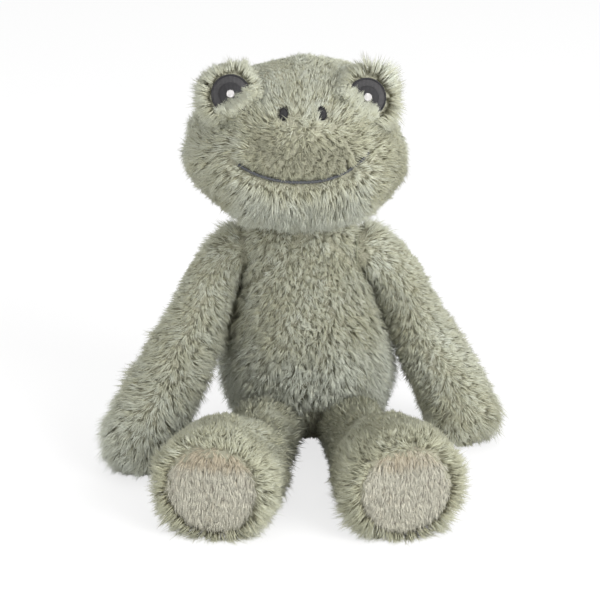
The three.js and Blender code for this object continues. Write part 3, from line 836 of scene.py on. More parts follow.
def lay_pile(shape, rng, clumps, flow, length, lift, rules):
    """Clumps of strands over a shape, as arrays with one row for each strand.

    A clump's tip leans from its root by its length along the flow, lifted off the surface. Its
    strands start around the root and gather towards that tip. Where the flow points straight
    off the surface, the pile parts: it stands up and turns more at random.
    """
    s, t = scatter(shape, clumps, rng)
    centres, normals = shape(s, t), normals_of(shape, s, t)
    places = (centres, normals, length(centres, normals), lift(centres, normals))
    wanted = (places[2] > SHORTEST_PILE) & (centres[:, 2] > rules["lowest"])
    for buried in rules["buried"]:
        wanted &= ~buried(centres)
    centres, normals, lengths, lifts = (values[wanted] for values in places)
    wish = flow(centres, normals)
    matted = rules["matted"](centres)
    lying = wish - along(wish, normals) * normals
    parted = 1 - rise(np.linalg.norm(lying, axis=1), 0.15, 0.75)
    lifts = lifts + rules["standing"] * parted
    forward = unit(lying)
    sideways = np.cross(normals, forward)
    count, each = len(centres), rules["strands"]
    turn = rules["swirl"] * broad_noise(centres, rules["seed"], rules["swirl_size"])
    turn += 0.3 * broad_noise(centres, rules["seed"] + 3, 15)
    turn = (turn + rng.normal(0, 1, count) * (0.08 + 0.55 * matted + 1.5 * parted))[:, None]
    forward = forward * np.cos(turn) + sideways * np.sin(turn)
    sideways = np.cross(normals, forward)
    lengths = lengths * np.clip(rng.normal(1, 0.16, count), *CLUMP_LENGTHS)
    lifts = lifts * (1 + 0.36 * broad_noise(centres, rules["seed"] + 1, 16))
    lifts = lifts + rng.normal(0, 1, count) * (0.04 + 0.14 * matted)
    lifts = np.clip(lifts, *CLUMP_LIFTS)
    clump_tints = rules["shade"](centres) + rng.normal(0, CLUMP_TINT, count)
    clump_tints += 0.09 * broad_noise(centres, rules["seed"] + 2, 26)
    spread = rules["spread"] * rng.uniform(0.7, 1.25, count)
    radius = spread[:, None] * np.sqrt(rng.random((count, each)))
    angle = rng.uniform(0, 2 * np.pi, (count, each))
    centres, normals = centres[:, None, :], normals[:, None, :]
    forward, sideways = forward[:, None, :], sideways[:, None, :]
    offset = (
        (radius * np.cos(angle))[..., None] * forward
        + (radius * np.sin(angle))[..., None] * sideways
    )
    drift = rng.normal(0, STRAND_DRIFT, (count, each))[..., None]
    ahead = forward * np.cos(drift) + sideways * np.sin(drift)
    raise_by = lifts[:, None] + rng.normal(0, rules["lift_noise"], (count, each))
    raise_by = np.clip(raise_by, *STRAND_LIFTS)[..., None]
    reach = (lengths[:, None] * rng.uniform(*STRAND_LENGTHS, (count, each)))[..., None]
    upward = np.broadcast_to(normals, ahead.shape)
    roots = centres + offset - ROOT_DEPTH * upward
    gathered = centres + offset * (0.75 - 0.5 * matted)[:, None, None]
    tips = gathered + reach * (np.cos(raise_by) * ahead + np.sin(raise_by) * upward)
    tips = tips - UP * reach * rules["sag"]
    bends = 0.5 * (roots + tips) + reach * (0.2 * upward - 0.1 * ahead)
    tints = clump_tints[:, None] + rng.normal(0, STRAND_TINT, (count, each))
    widths = rules["width"] * rng.uniform(*STRAND_WIDTHS, (count, each))
    return strand_rows(roots, bends, tips, upward, widths, tints)


def strand_rows(roots, bends, tips, upward, widths, tints):
    """The strands of all the clumps as one row each, with their tints kept within the map."""
    flat = [values.reshape(-1, 3) for values in (roots, bends, tips, upward)]
    return [*flat, widths.ravel(), np.clip(tints, *TINT_LIMITS).ravel()]


def fit(piece, body, slot, *nodes):
    """Says which body a piece rides and which solids it stands for; slot is not used."""
    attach(piece, body)
    if nodes:
        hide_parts(*nodes)


ALONE = {"strands": 1, "spread": 0.0}
WHOLE = {"": lambda roots: np.ones(len(roots), bool)}


def pile_pieces(name, body, slot, strands, material, parts=WHOLE):
    """The strands as pieces of their own: parts maps a suffix to a test of the strand's root."""
    for suffix, test in parts.items():
        chosen = test(strands[0])
        piece = strands_piece(name + suffix, *(values[chosen] for values in strands), material)
        fit(piece, body, slot)


# Materials


PILE_INPUTS = {
    "Place": "Vector",
    "Root": "Color",
    "Middle": "Color",
    "Tip": "Color",
    "Warm": "Color",
    "Spread": "Float",
}
PATTERN_INPUTS = {"Place": "Vector", "Dark": "Color", "Light": "Color", "Scale": "Float"}
EMBROIDERY_SCALE = 420.0


def group_named(name, inputs, outputs, fill):
    """The shader node group of that name, made and filled the first time it is asked for."""
    group = bpy.data.node_groups.get(name)
    if group is None:
        group = bpy.data.node_groups.new(name, "ShaderNodeTree")
        for way, sockets in (("INPUT", inputs), ("OUTPUT", outputs)):
            for label, kind in sockets.items():
                group.interface.new_socket(label, in_out=way, socket_type=f"NodeSocket{kind}")
        results = fill(group, group.nodes.new("NodeGroupInput").outputs)
        leaving = group.nodes.new("NodeGroupOutput")
        for label, socket in results.items():
            group.links.new(socket, leaving.inputs[label])
    return group


def new_node(tree, kind, links=(), **settings):
    """A node with its settings and the links or values of its inputs, by name or number."""
    node = tree.nodes.new(kind)
    for label, value in settings.items():
        setattr(node, label, value)
    for label, value in dict(links).items():
        socket = node.inputs[label]
        if isinstance(value, bpy.types.NodeSocket):
            tree.links.new(value, socket)
        else:
            socket.default_value = value
    return node


def worked_out(tree, operation, *values):
    """The result of a Math node."""
    return new_node(tree, "ShaderNodeMath", enumerate(values), operation=operation).outputs[0]


def ranged(tree, value, low, high, start=0.0, end=1.0):
    """A value carried from the range low to high to the range start to end."""
    limits = {"Value": value, 1: low, 2: high, 3: start, 4: end}
    return new_node(tree, "ShaderNodeMapRange", limits).outputs[0]


def blended(tree, share, first, second, how="MIX"):
    """Two colours mixed by a share."""
    colours = {0: share, 6: first, 7: second}
    return new_node(tree, "ShaderNodeMix", colours, data_type="RGBA", blend_type=how).outputs[2]


def pile_colours(group, given):
    """Root, middle and tip colours along v, made darker and warmer, or lighter and greyer, by u."""
    tint, place = new_node(group, "ShaderNodeSeparateXYZ", {0: given["Place"]}).outputs[:2]
    # Darker roots paint shade deep in the pile
    low = blended(group, ranged(group, place, 0.0, 0.5), given["Root"], given["Middle"])
    whole = blended(group, ranged(group, place, 0.45, 1.0), low, given["Tip"])
    # Darker tints, which also carry painted shade, are made warmer
    warmth = ranged(group, tint, 0.32, 0.72, 1.0, 0.0)
    warmed = blended(group, warmth, whole, given["Warm"], "MULTIPLY")
    shade = ranged(group, tint, 0.0, 1.0, -1.0, 1.0)
    lightness = worked_out(group, "MULTIPLY_ADD", shade, given["Spread"], 1.0)
    final = new_node(
        group, "ShaderNodeVectorMath", {0: warmed, "Scale": lightness}, operation="SCALE",
    )
    return {"Color": final.outputs[0]}


def streaked(group, given, height):
    """A pattern's height, and its dark and light colours mixed by it."""
    return {"Color": blended(group, height, given["Dark"], given["Light"]), "Height": height}


def matted_fibre(group, given):
    """Matted fibre over Object coordinates: fine noise drawn out into streaks by a broader one."""
    place = given["Place"]
    bent = new_node(group, "ShaderNodeTexNoise", {"Vector": place, "Scale": 120.0, "Detail": 2.0})
    moved = new_node(
        group, "ShaderNodeVectorMath",
        {0: bent.outputs["Color"], 1: (0.006, 0.006, 0.02), 2: place},
        operation="MULTIPLY_ADD",
    )
    fine = new_node(
        group, "ShaderNodeTexNoise",
        {"Vector": moved.outputs[0], "Scale": given["Scale"], "Detail": 5.0, "Roughness": 0.7},
    )
    return streaked(group, given, ranged(group, fine.outputs["Fac"], 0.3, 0.7))


def satin_stitch(group, given):
    """Satin stitches over Object coordinates: fine parallel threads with a little unevenness."""
    place = given["Place"]
    unevenness = {"Distortion": 1.4, "Detail": 1.0, "Detail Scale": 0.6}
    wave = new_node(
        group, "ShaderNodeTexWave", {"Vector": place, "Scale": given["Scale"], **unevenness},
        bands_direction="X",
    )
    grain = new_node(group, "ShaderNodeTexNoise", {"Vector": place, "Scale": 600.0, "Detail": 3.0})
    threads = worked_out(group, "MULTIPLY", wave.outputs["Fac"], grain.outputs["Fac"])
    return streaked(group, given, ranged(group, threads, 0.05, 0.6))


def bare_material(name, roughness, sheen):
    """A new material of one Principled shader, with its tree and that shader."""
    material = bpy.data.materials.new(name)
    material.use_nodes = True
    shader = material.node_tree.nodes["Principled BSDF"]
    shader.inputs["Roughness"].default_value = roughness
    shader.inputs["Specular IOR Level"].default_value = 0.2
    shader.inputs["Sheen Weight"].default_value = sheen
    shader.inputs["Sheen Roughness"].default_value = 0.6
    return material, material.node_tree, shader


def strand_material(name, colours, warm, spread):
    """Strands coloured from root to tip, each in its own tint."""
    if name in bpy.data.materials:
        return bpy.data.materials[name]
    material, tree, shader = bare_material(name, 0.85, 0.0)
    place = new_node(tree, "ShaderNodeUVMap", uv_map="OFBake")
    values = dict(zip(("Root", "Middle", "Tip", "Warm"), ((*value, 1) for value in (*colours, warm))))
    colour = new_node(
        tree, "ShaderNodeGroup", {"Place": place.outputs["UV"], "Spread": spread, **values},
        node_tree=group_named("Pile colour", PILE_INPUTS, {"Color": "Color"}, pile_colours),
    )
    tree.links.new(colour.outputs["Color"], shader.inputs["Base Color"])
    return material


def textured_material(name, fill, colours, scale, depth, roughness=0.9, sheen=0.1):
    """Cloth, filling or stitches whose colour and bump come from a pattern's node group."""
    if name in bpy.data.materials:
        return bpy.data.materials[name]
    material, tree, shader = bare_material(name, roughness, sheen)
    label = fill.__name__.replace("_", " ").capitalize()
    place = new_node(tree, "ShaderNodeTexCoord").outputs["Object"]
    dark, light = ((*colour, 1) for colour in colours)
    pattern = new_node(
        tree, "ShaderNodeGroup", {"Place": place, "Dark": dark, "Light": light, "Scale": scale},
        node_tree=group_named(label, PATTERN_INPUTS, {"Color": "Color", "Height": "Float"}, fill),
    )
    bump = new_node(
        tree, "ShaderNodeBump",
        {"Strength": 0.6, "Distance": depth, "Height": pattern.outputs["Height"]},
    )
    tree.links.new(pattern.outputs["Color"], shader.inputs["Base Color"])
    tree.links.new(bump.outputs["Normal"], shader.inputs["Normal"])
    return material


def shades(colour, *factors):
    """A plain colour made darker or lighter by each factor."""
    return [tuple(value * factor for value in colour) for factor in factors]


def pile_material(name, look):
    """The pile of the user's colours."""
    colours = (look.root_colour, look.middle_colour, look.tip_colour)
    return strand_material(name, colours, look.warm_tint, look.tint_spread)


def fur_material():
    """The long sage-green pile."""
    return pile_material("Long pile", bpy.context.scene.frog_pile)


def sole_material():
    """The short greige pile of the soles."""
    return pile_material("Short pile", bpy.context.scene.frog_soles)


def backing_material():
    """The cloth under the long pile."""
    colours = shades(bpy.context.scene.frog_pile.backing_colour, 0.7, 1.25)
    return textured_material("Pile backing", matted_fibre, colours, 700.0, 0.0006)


def sole_backing_material():
    """The cloth of the soles."""
    colours = shades(bpy.context.scene.frog_soles.backing_colour, 0.75, 1.2)
    return textured_material("Sole cloth", matted_fibre, colours, 900.0, 0.0004)


def stuffing_material():
    """The loose fibre inside the covers."""
    colours = shades(bpy.context.scene.frog_inside.filling_colour, 0.8, 1.1)
    return textured_material("Fibre filling", matted_fibre, colours, 260.0, 0.002)


def pouch_material():
    """The cloth of the pellet pouch."""
    colours = shades(bpy.context.scene.frog_inside.pouch_colour, 0.8, 1.1)
    return textured_material("Pellet pouch cloth", matted_fibre, colours, 320.0, 0.0015)


def thread_material(name, colour, scale=EMBROIDERY_SCALE):
    """Embroidery or sewing thread of one colour."""
    colours = shades(colour, 0.55, 1.3)
    return textured_material(name, satin_stitch, colours, scale, 0.0002, 0.55, 0.05)


def pupil_thread_material():
    """The darkest thread, of the pupils, the outlines and the nostrils."""
    return thread_material("Pupil thread", bpy.context.scene.frog_face.pupil_colour)


def seam_material():
    """The thread of the seams."""
    return thread_material("Sewing thread", bpy.context.scene.frog_inside.seam_colour, 700.0)


def fuzz_material(name, colour):
    """Loose thread fibres, lighter towards their tips."""
    return strand_material(name, shades(colour, 0.9, 1.2, 1.5), (1.0, 1.0, 1.0), 0.2)


def skin_piece(name, body, shape, cells, node, material, slot):
    """A stuffed cover that stands for its solid."""
    piece = closed_piece(name, shape, *cells, material)
    fit(piece, body, slot, node)


def stuffing_piece(name, body, shape, node):
    """A lump of fibre filling that stands for its solid, a little uneven."""
    lumpy = raised_shape(shape, lambda points: 0.5 * broad_noise(points, 71, 14) - 0.5)
    fit(closed_piece(name, lumpy, 26, 36, stuffing_material()), body, "filling", node)


def stuffed_part(part, mark, body, shape_at, insets, cells):
    """A part's cover and its filling, from its shape at an inset, and the shape of its cover."""
    shape, filling = (shape_at(inset) for inset in insets)
    material = backing_material()
    skin_piece(f"{part}_cover{mark}", body, shape, cells, f"{part}_skin{mark}", material, "fur")
    stuffing_piece(f"{part}_stuffing{mark}", body, filling, f"{part}_filling{mark}")
    return shape


def paint_node(node, material):
    """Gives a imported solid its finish."""
    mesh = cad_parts[node].data
    mesh.materials.clear()
    mesh.materials.append(material)


# Where each kind of pile lies, how long it is and how far it stands off


def head_flow(points, normals):
    """Out and back from the face: up over a wavering line by the nostrils, and down under it."""
    x, _, z, _ = face_places(points)
    side = rise(np.abs(x), 12, 40)
    parting = CROWN - 25.0 - 20.0 * side + 2.5 * broad_noise(points, 61, 30)
    upward = np.tanh((z - parting) / (6.0 + 18.0 * side))[:, None]
    outward = (x / 30.0)[:, None]
    across = outward / np.sqrt(1 + outward**2) * 1.1
    return upward * UP + across * RIGHT + 0.35 * BACKWARD - 0.1 * UP


def on_muzzle(points):
    """1 on the worn muzzle between the nostrils and the mouth, where shade is painted, 0 away from it."""
    x, y, _, above = face_places(points)
    return bump_at(above, 13, 11) * (1 - rise(np.abs(x), 18, 36)) * rise(-y, 10, 30)


# Dips in the pile of the temples: how much shorter, where across and how wide, and how far below
# the crown and how high
HEAD_DIPS = ((5.4, 56, 14, 37, 8), (7.6, -58, 12, 29, 4.5))
HEAD_PILE = 9.6
SHORTEST_HEAD_PILE = 2.3
NOSTRIL_CLEARING = 2.6


def head_length(points, normals):
    """Short on the muzzle, by the mouth and nostrils and in the dips by the eyes."""
    x, y, z, above = face_places(points)
    ahead = rise(-y, 10, 30)
    length = np.full(len(points), HEAD_PILE)
    length += 1.4 * rise(-above, 4, 14) * ahead * (1 - rise(np.abs(x), 26, 44))
    length -= 3.6 * on_muzzle(points)
    length -= 3.6 * rise(z, CROWN - 24, CROWN - 6)
    for cut, middle, width, below, high in HEAD_DIPS:
        length -= cut * bump_at(x, middle, width) * bump_at(z, CROWN - below, high)
    crown = rise(z, CROWN - 14, CROWN - 4)
    length -= crown * (3.4 * rise(-x, -2, 9) + 1.2 * rise(x, 14, 24))
    length -= 3.5 * bump_at(np.abs(x), 24, 7) * bump_at(z, CROWN - 6, 8) * ahead
    length -= 3.4 * rise(np.abs(x), 26, 44) * rise(-above - 6 * (x > 0), 16, 27)
    length -= 3.2 * (1 - rise(np.abs(x), 22, 34)) * rise(-above, 20, 30) * ahead
    length = np.maximum(length, SHORTEST_HEAD_PILE)
    on_mouth = (np.abs(x) < MOUTH_HALF_WIDTH + 2) & (y < -15)
    drooping = 0.85 + 0.35 * rise(x, 8, 26) + 0.25 * rise(-x, 14, 30)
    length = np.where(on_mouth & (above > 0), np.minimum(length, above * drooping), length)
    length = np.where(on_mouth & (above < 0), np.minimum(length, 3.6 - 1.2 * above), length)
    length = np.where(on_mouth & (np.abs(above) < 1.0), 0, length)
    for direction in SIDES.values():
        off = (x - direction * NOSTRIL_SPREAD) / NOSTRIL_CLEARING
        over = (z - (CROWN - NOSTRIL_BELOW_CROWN)) / NOSTRIL_HALF_HEIGHT
        apart = np.hypot(off, over)
        near = (apart < 2.0) & (y < -15)
        length = np.where(near, np.minimum(length, 3.4 + 5.0 * (apart - 1)), length)
        length = np.where(near & (apart < 1), 0, length)
    return length


def head_lift(points, normals):
    """Nearly flat on the cheeks, fuller on the muzzle, and hanging under the chin."""
    x, y, z, above = face_places(points)
    lift = 0.28 + 0.34 * on_muzzle(points)
    lift += 0.3 * rise(-normals[:, 2], 0.5, 0.9)
    lift += 0.1 * rise(z, CROWN - 16, CROWN - 4)
    lift += 0.6 * bump_at(above, -3, 2.5) * (np.abs(x) < MOUTH_HALF_WIDTH + 4) * rise(-y, 10, 30)
    return lift


def head_matted(points):
    """Combed on the cheeks and forehead, and matted on the muzzle."""
    return 0.06 + 0.84 * on_muzzle(points)


def head_shade(points):
    """Painted shade on the matted muzzle and the cheeks, most on the right, painted light on the chin;
    the forehead is lighter.
    """
    x, y, _, above = face_places(points)
    cheeks = rise(np.abs(x), 26, 46) * rise(-y, 0, 20)
    chin = rise(-above, 4, 14) * (1 - rise(np.abs(x), 26, 40))
    # Painted light on the chin, and painted shade on the muzzle and on the cheeks, most on the right
    return 0.56 + 0.12 * chin - 0.7 * on_muzzle(points) - cheeks * np.where(x < 0, 0.12, 0.26)


def lid_axis(side):
    """The direction from an eye's middle to the side that its lid of pile comes from."""
    axes, _ = eye_axes(side)
    right, up = LID_FROM[side]
    return unit(up * axes[1] - right * axes[0])


def mound_flow(side):
    """Away from the eye's middle and back along the mound, and over the eye from the lid."""
    axes, top = eye_axes(side)
    lid = lid_axis(side)

    def flow(points, normals):
        away = unit(points - top)
        lidded = rise(along(away, lid), 0.35, 0.75)
        return (1 - lidded) * (away - 0.25 * axes[2]) - lidded * (lid - 0.5 * axes[2])

    return flow


def mound_length(side):
    """None on the embroidery, short on the inner side and long on the outer one."""
    axes, top = eye_axes(side)

    def length(points, normals):
        local = (points - top) @ axes.T
        off_axis = np.hypot(local[:, 0], local[:, 1])
        outward = -local[:, 0] * SIDES[side]
        found = MOUND_PILE + OUTER_MOUND_PILE[side] * rise(outward, -9, 8)
        high = rise(local[:, 1], 2, 11)
        for middle, width, change in MOUND_TUFTS[side]:
            found += change * high * bump_at(outward, middle, width)
        return np.where((off_axis < EYE_RADIUS + 0.3) & (local[:, 2] > -9), 0, found)

    return length


def lid_strands(side, rng):
    """Strands rooted round the lid's side of the eye, whose tips end along one line over it."""
    axes, top = eye_axes(side)
    lid = lid_axis(side)
    beside = np.cross(axes[2], lid)
    count, each = LID_CLUMPS, LID_STRANDS
    angle = rng.uniform(*LID_ANGLES[side], count)
    reach = LID_INNER + LID_BAND * rng.random(count)
    across, out = reach * np.sin(angle), reach * np.cos(angle)
    front = mound_front(reach) - 1.1 * np.maximum(reach - MOUND_RADIUS, 0)
    end = LID_EDGE[side] + rng.normal(0, 0.9, count) + 0.5 * (reach - EYE_RADIUS)
    end = np.minimum(end + np.maximum(np.abs(across) - 8, 0), out - 2.5)
    lean = across + rng.normal(0, 1.8, count) - 1.5

    def place(sideways, outward, ahead):
        places = (sideways[..., None] * beside, outward[..., None] * lid, ahead[..., None] * axes[2])
        return top + places[0] + places[1] + places[2]

    spread = rng.normal(0, 1.1, (2, count, each))
    roots = place(across[:, None] + spread[0], out[:, None] + spread[1], front[:, None] - 0.8)
    off_axis = np.hypot(lean, end)[:, None]
    high = 1.7 - off_axis**2 / (2 * MOUND_DOME) + 1.1 * rng.random((count, 1)) + 0.15 * spread[1]
    tips = place(lean[:, None] + 0.3 * spread[0], end[:, None] + 0.6 * spread[1], high)
    bends = 0.6 * roots + 0.4 * tips + (1.5 + 0.8 * rng.random((count, 1, 1))) * axes[2]
    upward = np.broadcast_to(axes[2], roots.shape)
    tints = 0.52 + rng.normal(0, CLUMP_TINT, (count, 1)) + rng.normal(0, STRAND_TINT, (count, each))
    width = bpy.context.scene.frog_pile.strand_width / MM
    widths = width * rng.uniform(*STRAND_WIDTHS, (count, each))
    return strand_rows(roots, bends, tips, upward, widths, tints)


def fuzz_strands(axes, middle, length, count, rng):
    """Short loose fibres over a patch of stitches, more of them leaning out past its rim."""
    angle = rng.uniform(0, 2 * np.pi, count)
    reach = rng.uniform(0.5, 1.02, count)
    flat = np.cos(angle)[:, None] * axes[0] + np.sin(angle)[:, None] * axes[1]
    roots = middle + reach[:, None] * flat - 0.3 * axes[2]
    wander = rng.normal(0, 0.35, (count, 3))
    tips = roots + length * (0.9 * unit(flat) + 0.55 * axes[2] + wander) * rng.uniform(0.5, 1, (count, 1))
    bends = 0.5 * (roots + tips) + 0.25 * length * axes[2]
    upward = np.broadcast_to(unit(axes[2]), roots.shape)
    return [roots, bends, tips, upward, np.full(count, 0.32), rng.uniform(0.3, 0.9, count)]


def body_flow(points, normals):
    """Down, and round the sides away from the viewer."""
    front = rise(BODY_BEHIND + 30 - points[:, [1]], 0, 30)
    return -UP + 0.6 * front * BACKWARD


def on_chest(points):
    """1 on the matted middle of the front, 0 on the combed flanks and back."""
    return bump_at(points[:, 0], 2, 24) * rise(BODY_BEHIND - points[:, 1], 5, 25)


def body_matted(points):
    """Combed on the flanks and back, and matted on the chest."""
    return 0.26 + 0.7 * on_chest(points)


def on_low_flank(points):
    """1 low on the sides of the body, beside the hands, 0 away from them."""
    x, _, z = points.T
    return rise(np.abs(x), 26, 42) * rise(z, 22, 42) * (1 - rise(z, 72, 92))


def by_the_arms(points):
    """1 in the crevices where the arms leave the body and up to the chin, where shade is painted, 0 away
    from them.
    """
    x, y, z = points.T
    armpit = inside_either(inside_arm, points, -4.5) & (z > 55)
    fold = np.abs(np.abs(x - 2) - 23 - 0.9 * (118 - z)) < 2.4
    return (armpit | (fold & (z > 96) & (y < BODY_BEHIND))).astype(float)


def between_legs(points):
    """1 low on the belly where the legs part, where shade is painted, 0 away from there."""
    x, y, z = points.T
    return bump_at(x, 8, 12) * rise(38 - z, 0, 12) * rise(BODY_BEHIND - y, 0, 15)


def body_shade(points):
    """Lighter with painted light low on the belly than on the chest, and dark with painted shade in the
    crevices by the limbs.
    """
    # Painted shade in the crevices by the arms and between the legs, and painted light low on the belly
    crevices = 0.45 * by_the_arms(points) + 0.5 * between_legs(points)
    return 0.47 + 0.26 * rise(80 - points[:, 2], 0, 30) - crevices


def body_length(points, normals):
    """Longer low on the flanks, and short on the chest, in the crevices and under the belly."""
    _, y, z = points.T
    under = rise(20 - z, 0, 12) * rise(BODY_BEHIND - y, 0, 15)
    length = BODY_PILE + 3.0 * on_low_flank(points)
    length -= 6.0 * np.maximum(under, between_legs(points))
    length -= 2.6 * on_chest(points) * rise(z, 66, 90)
    return length * (1 - 0.62 * by_the_arms(points))


def body_lift(points, normals):
    """Further off the cloth on the chest and low on the flanks than on the back."""
    return 0.34 + 0.36 * on_chest(points) + 0.25 * on_low_flank(points)


def arm_flow(side):
    """Along the arm, more at its start, back round it, and down, more by the hand."""
    fine, travelled, directions = route_table(arm_route(side))
    where = travelled[::8] / travelled[-1]
    fine, directions = fine[::8] + SHOULDERS[side], directions[::8]
    ahead = 0.3 + 0.9 * (1 - rise(where, 0.15, 0.5))
    down = 0.35 + 0.6 * rise(where, 0.6, 0.9)

    def flow(points, normals):
        near = np.argmin(np.linalg.norm(points[:, None] - fine[None], axis=2), axis=1)
        forward = directions[near]
        backward = unit(BACKWARD - forward[:, [1]] * forward)
        return ahead[near][:, None] * forward + 1.5 * backward - down[near][:, None] * UP

    return flow


def arm_length(side):
    """Short at the shoulder and by the body, and longer on the arm's sides and on the hand."""

    def length(points, normals):
        height = points[:, 2]
        outward = normals[:, 0] * SIDES[side]
        upper = rise(height, 75, 100)
        found = (1 - upper) * ARM_PILE[side] + upper * SHOULDER_PILE
        found += 3.6 * rise(normals[:, 2], 0.5, 0.9) * rise(height, 112, 122)
        found += INNER_ARM_PILE[side] * rise(-outward, 0.3, 0.8) * bump_at(height, 62, 18)
        outer = HAND_PILE[side] * rise(38 - height, 0, 14) - 2.2 * rise(height, 96, 112)
        outer -= 2.0 * rise(height, 108, 118)
        outer += OUTER_ARM_PILE[side] * bump_at(height, 50, 24)
        found += outer * rise(outward, 0.3, 0.8)
        return found * np.where(inside_body(points, -4.0), 0.5, 1)

    return length


def arm_shade(side):
    """Painted light on the left hand and painted shade on the right one, and painted shade in the crevice
    by the body.
    """

    def shade(points):
        crevice = inside_body(points, -4.0)
        # Painted light on the left hand, painted shade on the right one and in the crevice by the body
        return 0.5 + HAND_PAINTED_LIGHT_AND_SHADE[side] * rise(60 - points[:, 2], 0, 30) - 0.4 * crevice

    return shade


def leg_flow(side):
    """Back and out from the sole on the foot, and back and down on the shin."""
    axes, sole = sole_axes(side)

    def flow(points, normals):
        local = (points - sole) @ axes.T
        radial = unit(local[:, [0]] * axes[0] + local[:, [1]] * axes[1])
        foot = rise(local[:, [2]], -45, -10)
        fringe = rise(local[:, [2]], -16, -4)
        low = rise(14 - points[:, [2]], 0, 12) * foot
        spread = low * (0.7 * np.tanh(local[:, [0]] / 8) * axes[0] + 1.1 * fringe * axes[2])
        return (0.9 * fringe - 0.8) * axes[2] + foot * radial + spread - (1 - foot) * 0.5 * UP

    return flow


def leg_length(side):
    """None on the sole, full around it, and shorter up the shin and on top of the foot."""
    axes, sole = sole_axes(side)

    def length(points, normals):
        local = (points - sole) @ axes.T
        off_axis = np.hypot(local[:, 0], local[:, 1])
        foot = rise(local[:, 2], -45, -20)
        inward = rise(-normals[:, 0] * SIDES[side], 0.3, 0.8)
        found = SHIN_PILE + 1.4 * rise(local[:, 2], -40, -8) + 2.5 * rise(10 - points[:, 2], 0, 8)
        found += INNER_SHIN_PILE[side] * inward * (1 - foot)
        found += INNER_FOOT_PILE[side] * inward * foot * rise(26 - points[:, 2], 0, 10)
        found -= UPPER_FOOT_CUT[side] * rise(normals[:, 2], 0.3, 0.8) * rise(local[:, 2], -80, -60)
        return np.where((off_axis < SOLE_RADIUS - 0.6) & (local[:, 2] > -6), 0, found)

    return length


def leg_shade(side):
    """Darker round the foot than on the shin."""
    axes, sole = sole_axes(side)
    return lambda points: SHIN_SHADE[side] - 0.08 * rise((points - sole) @ axes[2], -45, -20)


def leg_lift(side):
    """Further off the cloth round the sole than on the shin."""
    axes, sole = sole_axes(side)

    def lift(points, normals):
        local = (points - sole) @ axes.T
        return 0.45 + 0.25 * rise(local[:, 2], -26, -6)

    return lift


def fringe_strands(side, shape, rng, rules):
    """More single strands round the front of the foot, which fill its fringe."""
    axes, sole = sole_axes(side)
    whole = leg_length(side)

    def length(points, normals):
        ahead = (points - sole) @ axes[2]
        return np.where(ahead > FRINGE_START, whole(points, normals), 0)

    count = count_on(shape, bpy.context.scene.frog_pile.fringe)
    alone = {**rules, **ALONE}
    return lay_pile(shape, rng, count, leg_flow(side), length, leg_lift(side), alone)


def sole_shade(side):
    """Lighter than the fur, a little darker over its upper half, and darker and warmer with painted shade
    in a band under the upper rim.
    """
    axes, middle = sole_axes(side)

    def shade(points):
        high = (points - middle) @ axes[1]
        # Painted shade in a band under the sole's upper rim
        band = SOLE_RIM_PAINTED_SHADE[side] * rise(high, SOLE_RADIUS - 11, SOLE_RADIUS - 5)
        return 0.88 - 0.08 * rise(high, -SOLE_RADIUS, 0) - band

    return shade


def back_seam_gap(points):
    """True on the line of the ladder stitch, where the pile is parted."""
    low, high = node_corners("back_seam")
    within = (points[:, 2] > low[2]) & (points[:, 2] < high[2]) & (points[:, 1] > BODY_BEHIND)
    return within & (np.abs(points[:, 0] - (low[0] + high[0]) / 2) < SEAM_GAP)


def even(value):
    """The same value at every place."""
    return lambda points, *_: np.full(len(points), value)


def pile_rules(**changes):
    """How pile is laid: the user's settings and what is usual, with this piece's own changes."""
    look = bpy.context.scene.frog_pile
    rules = {
        "strands": look.strands,
        "spread": look.clump_radius / MM,
        "width": look.strand_width / MM,
        "matted": even(look.matted),
        "swirl": look.swirl,
        "swirl_size": 42.0,
        "sag": 0.05,
        "seed": 5,
        "buried": (),
        "thickness": 1.0,
        "lowest": FLOOR_GAP,
        "lift_noise": 0.1,
        "standing": 0.2,
        "shade": even(0.5),
    }
    rules.update(changes)
    return rules


def cover_inset():
    """How far the covers lie inside their solids."""
    return bpy.context.scene.frog_pile.inset / MM


def cover_insets():
    """How far a cover and the filling in it lie inside their solids."""
    return cover_inset(), cover_inset() + FILLING_DEPTH


# The user's sizes and colours


def amount_property(name, description, default, **kind):
    """A number from 0."""
    return FloatProperty(name=name, description=description, default=default, min=0.0, **kind)


def length_property(name, description, default):
    """A length in metres."""
    return amount_property(name, description, default, unit="LENGTH")


def angle_property(name, description, default):
    """An angle in radians."""
    return amount_property(name, description, default, subtype="ANGLE")


def share_property(name, description, default):
    """A share from 0 to 1."""
    return amount_property(name, description, default, max=1.0, subtype="FACTOR")


def colour_property(name, description, default):
    """A colour in linear values."""
    return FloatVectorProperty(
        name=name, description=description, default=default, subtype="COLOR", size=3, min=0.0, max=1.0,
    )


class FROG_PG_pile(PropertyGroup):
    density: amount_property("Clump density", "Clumps on a square metre of cloth", 150000.0)
    singles: amount_property("Single strands", "Strands between them on a square metre", 300000.0)
    fringe: amount_property("Fringe strands", "Further strands on a square metre of foot", 650000.0)
    strands: IntProperty(
        name="Strands", description="Strands gathered into each clump", default=10, min=1, max=40,
    )
    strand_width: length_property("Strand width", "Width of a strand at its middle", 0.00048)
    clump_radius: length_property("Clump radius", "Radius that a clump's roots cover", 0.0016)
    inset: length_property("Cover inset", "How far the covers lie inside the solids", 0.0004)
    matted: share_property("Matted", "How far the pile is tangled into tufts", 0.25)
    swirl: angle_property("Swirl", "How far whole patches turn from their flow", 0.4)
    root_colour: colour_property("Root colour", "Pile at its roots", linear(146, 142, 117))
    middle_colour: colour_property("Middle colour", "Pile half way up", linear(175, 177, 163))
    tip_colour: colour_property("Tip colour", "Pile at its tips", linear(199, 203, 192))
    warm_tint: colour_property("Warm tint", "What multiplies the warmest strands", (1.0, 0.96, 0.82))
    tint_spread: share_property("Tint spread", "How much lighter and darker strands are", 0.36)
    backing_colour: colour_property("Backing colour", "Cloth under the pile", linear(150, 149, 130))


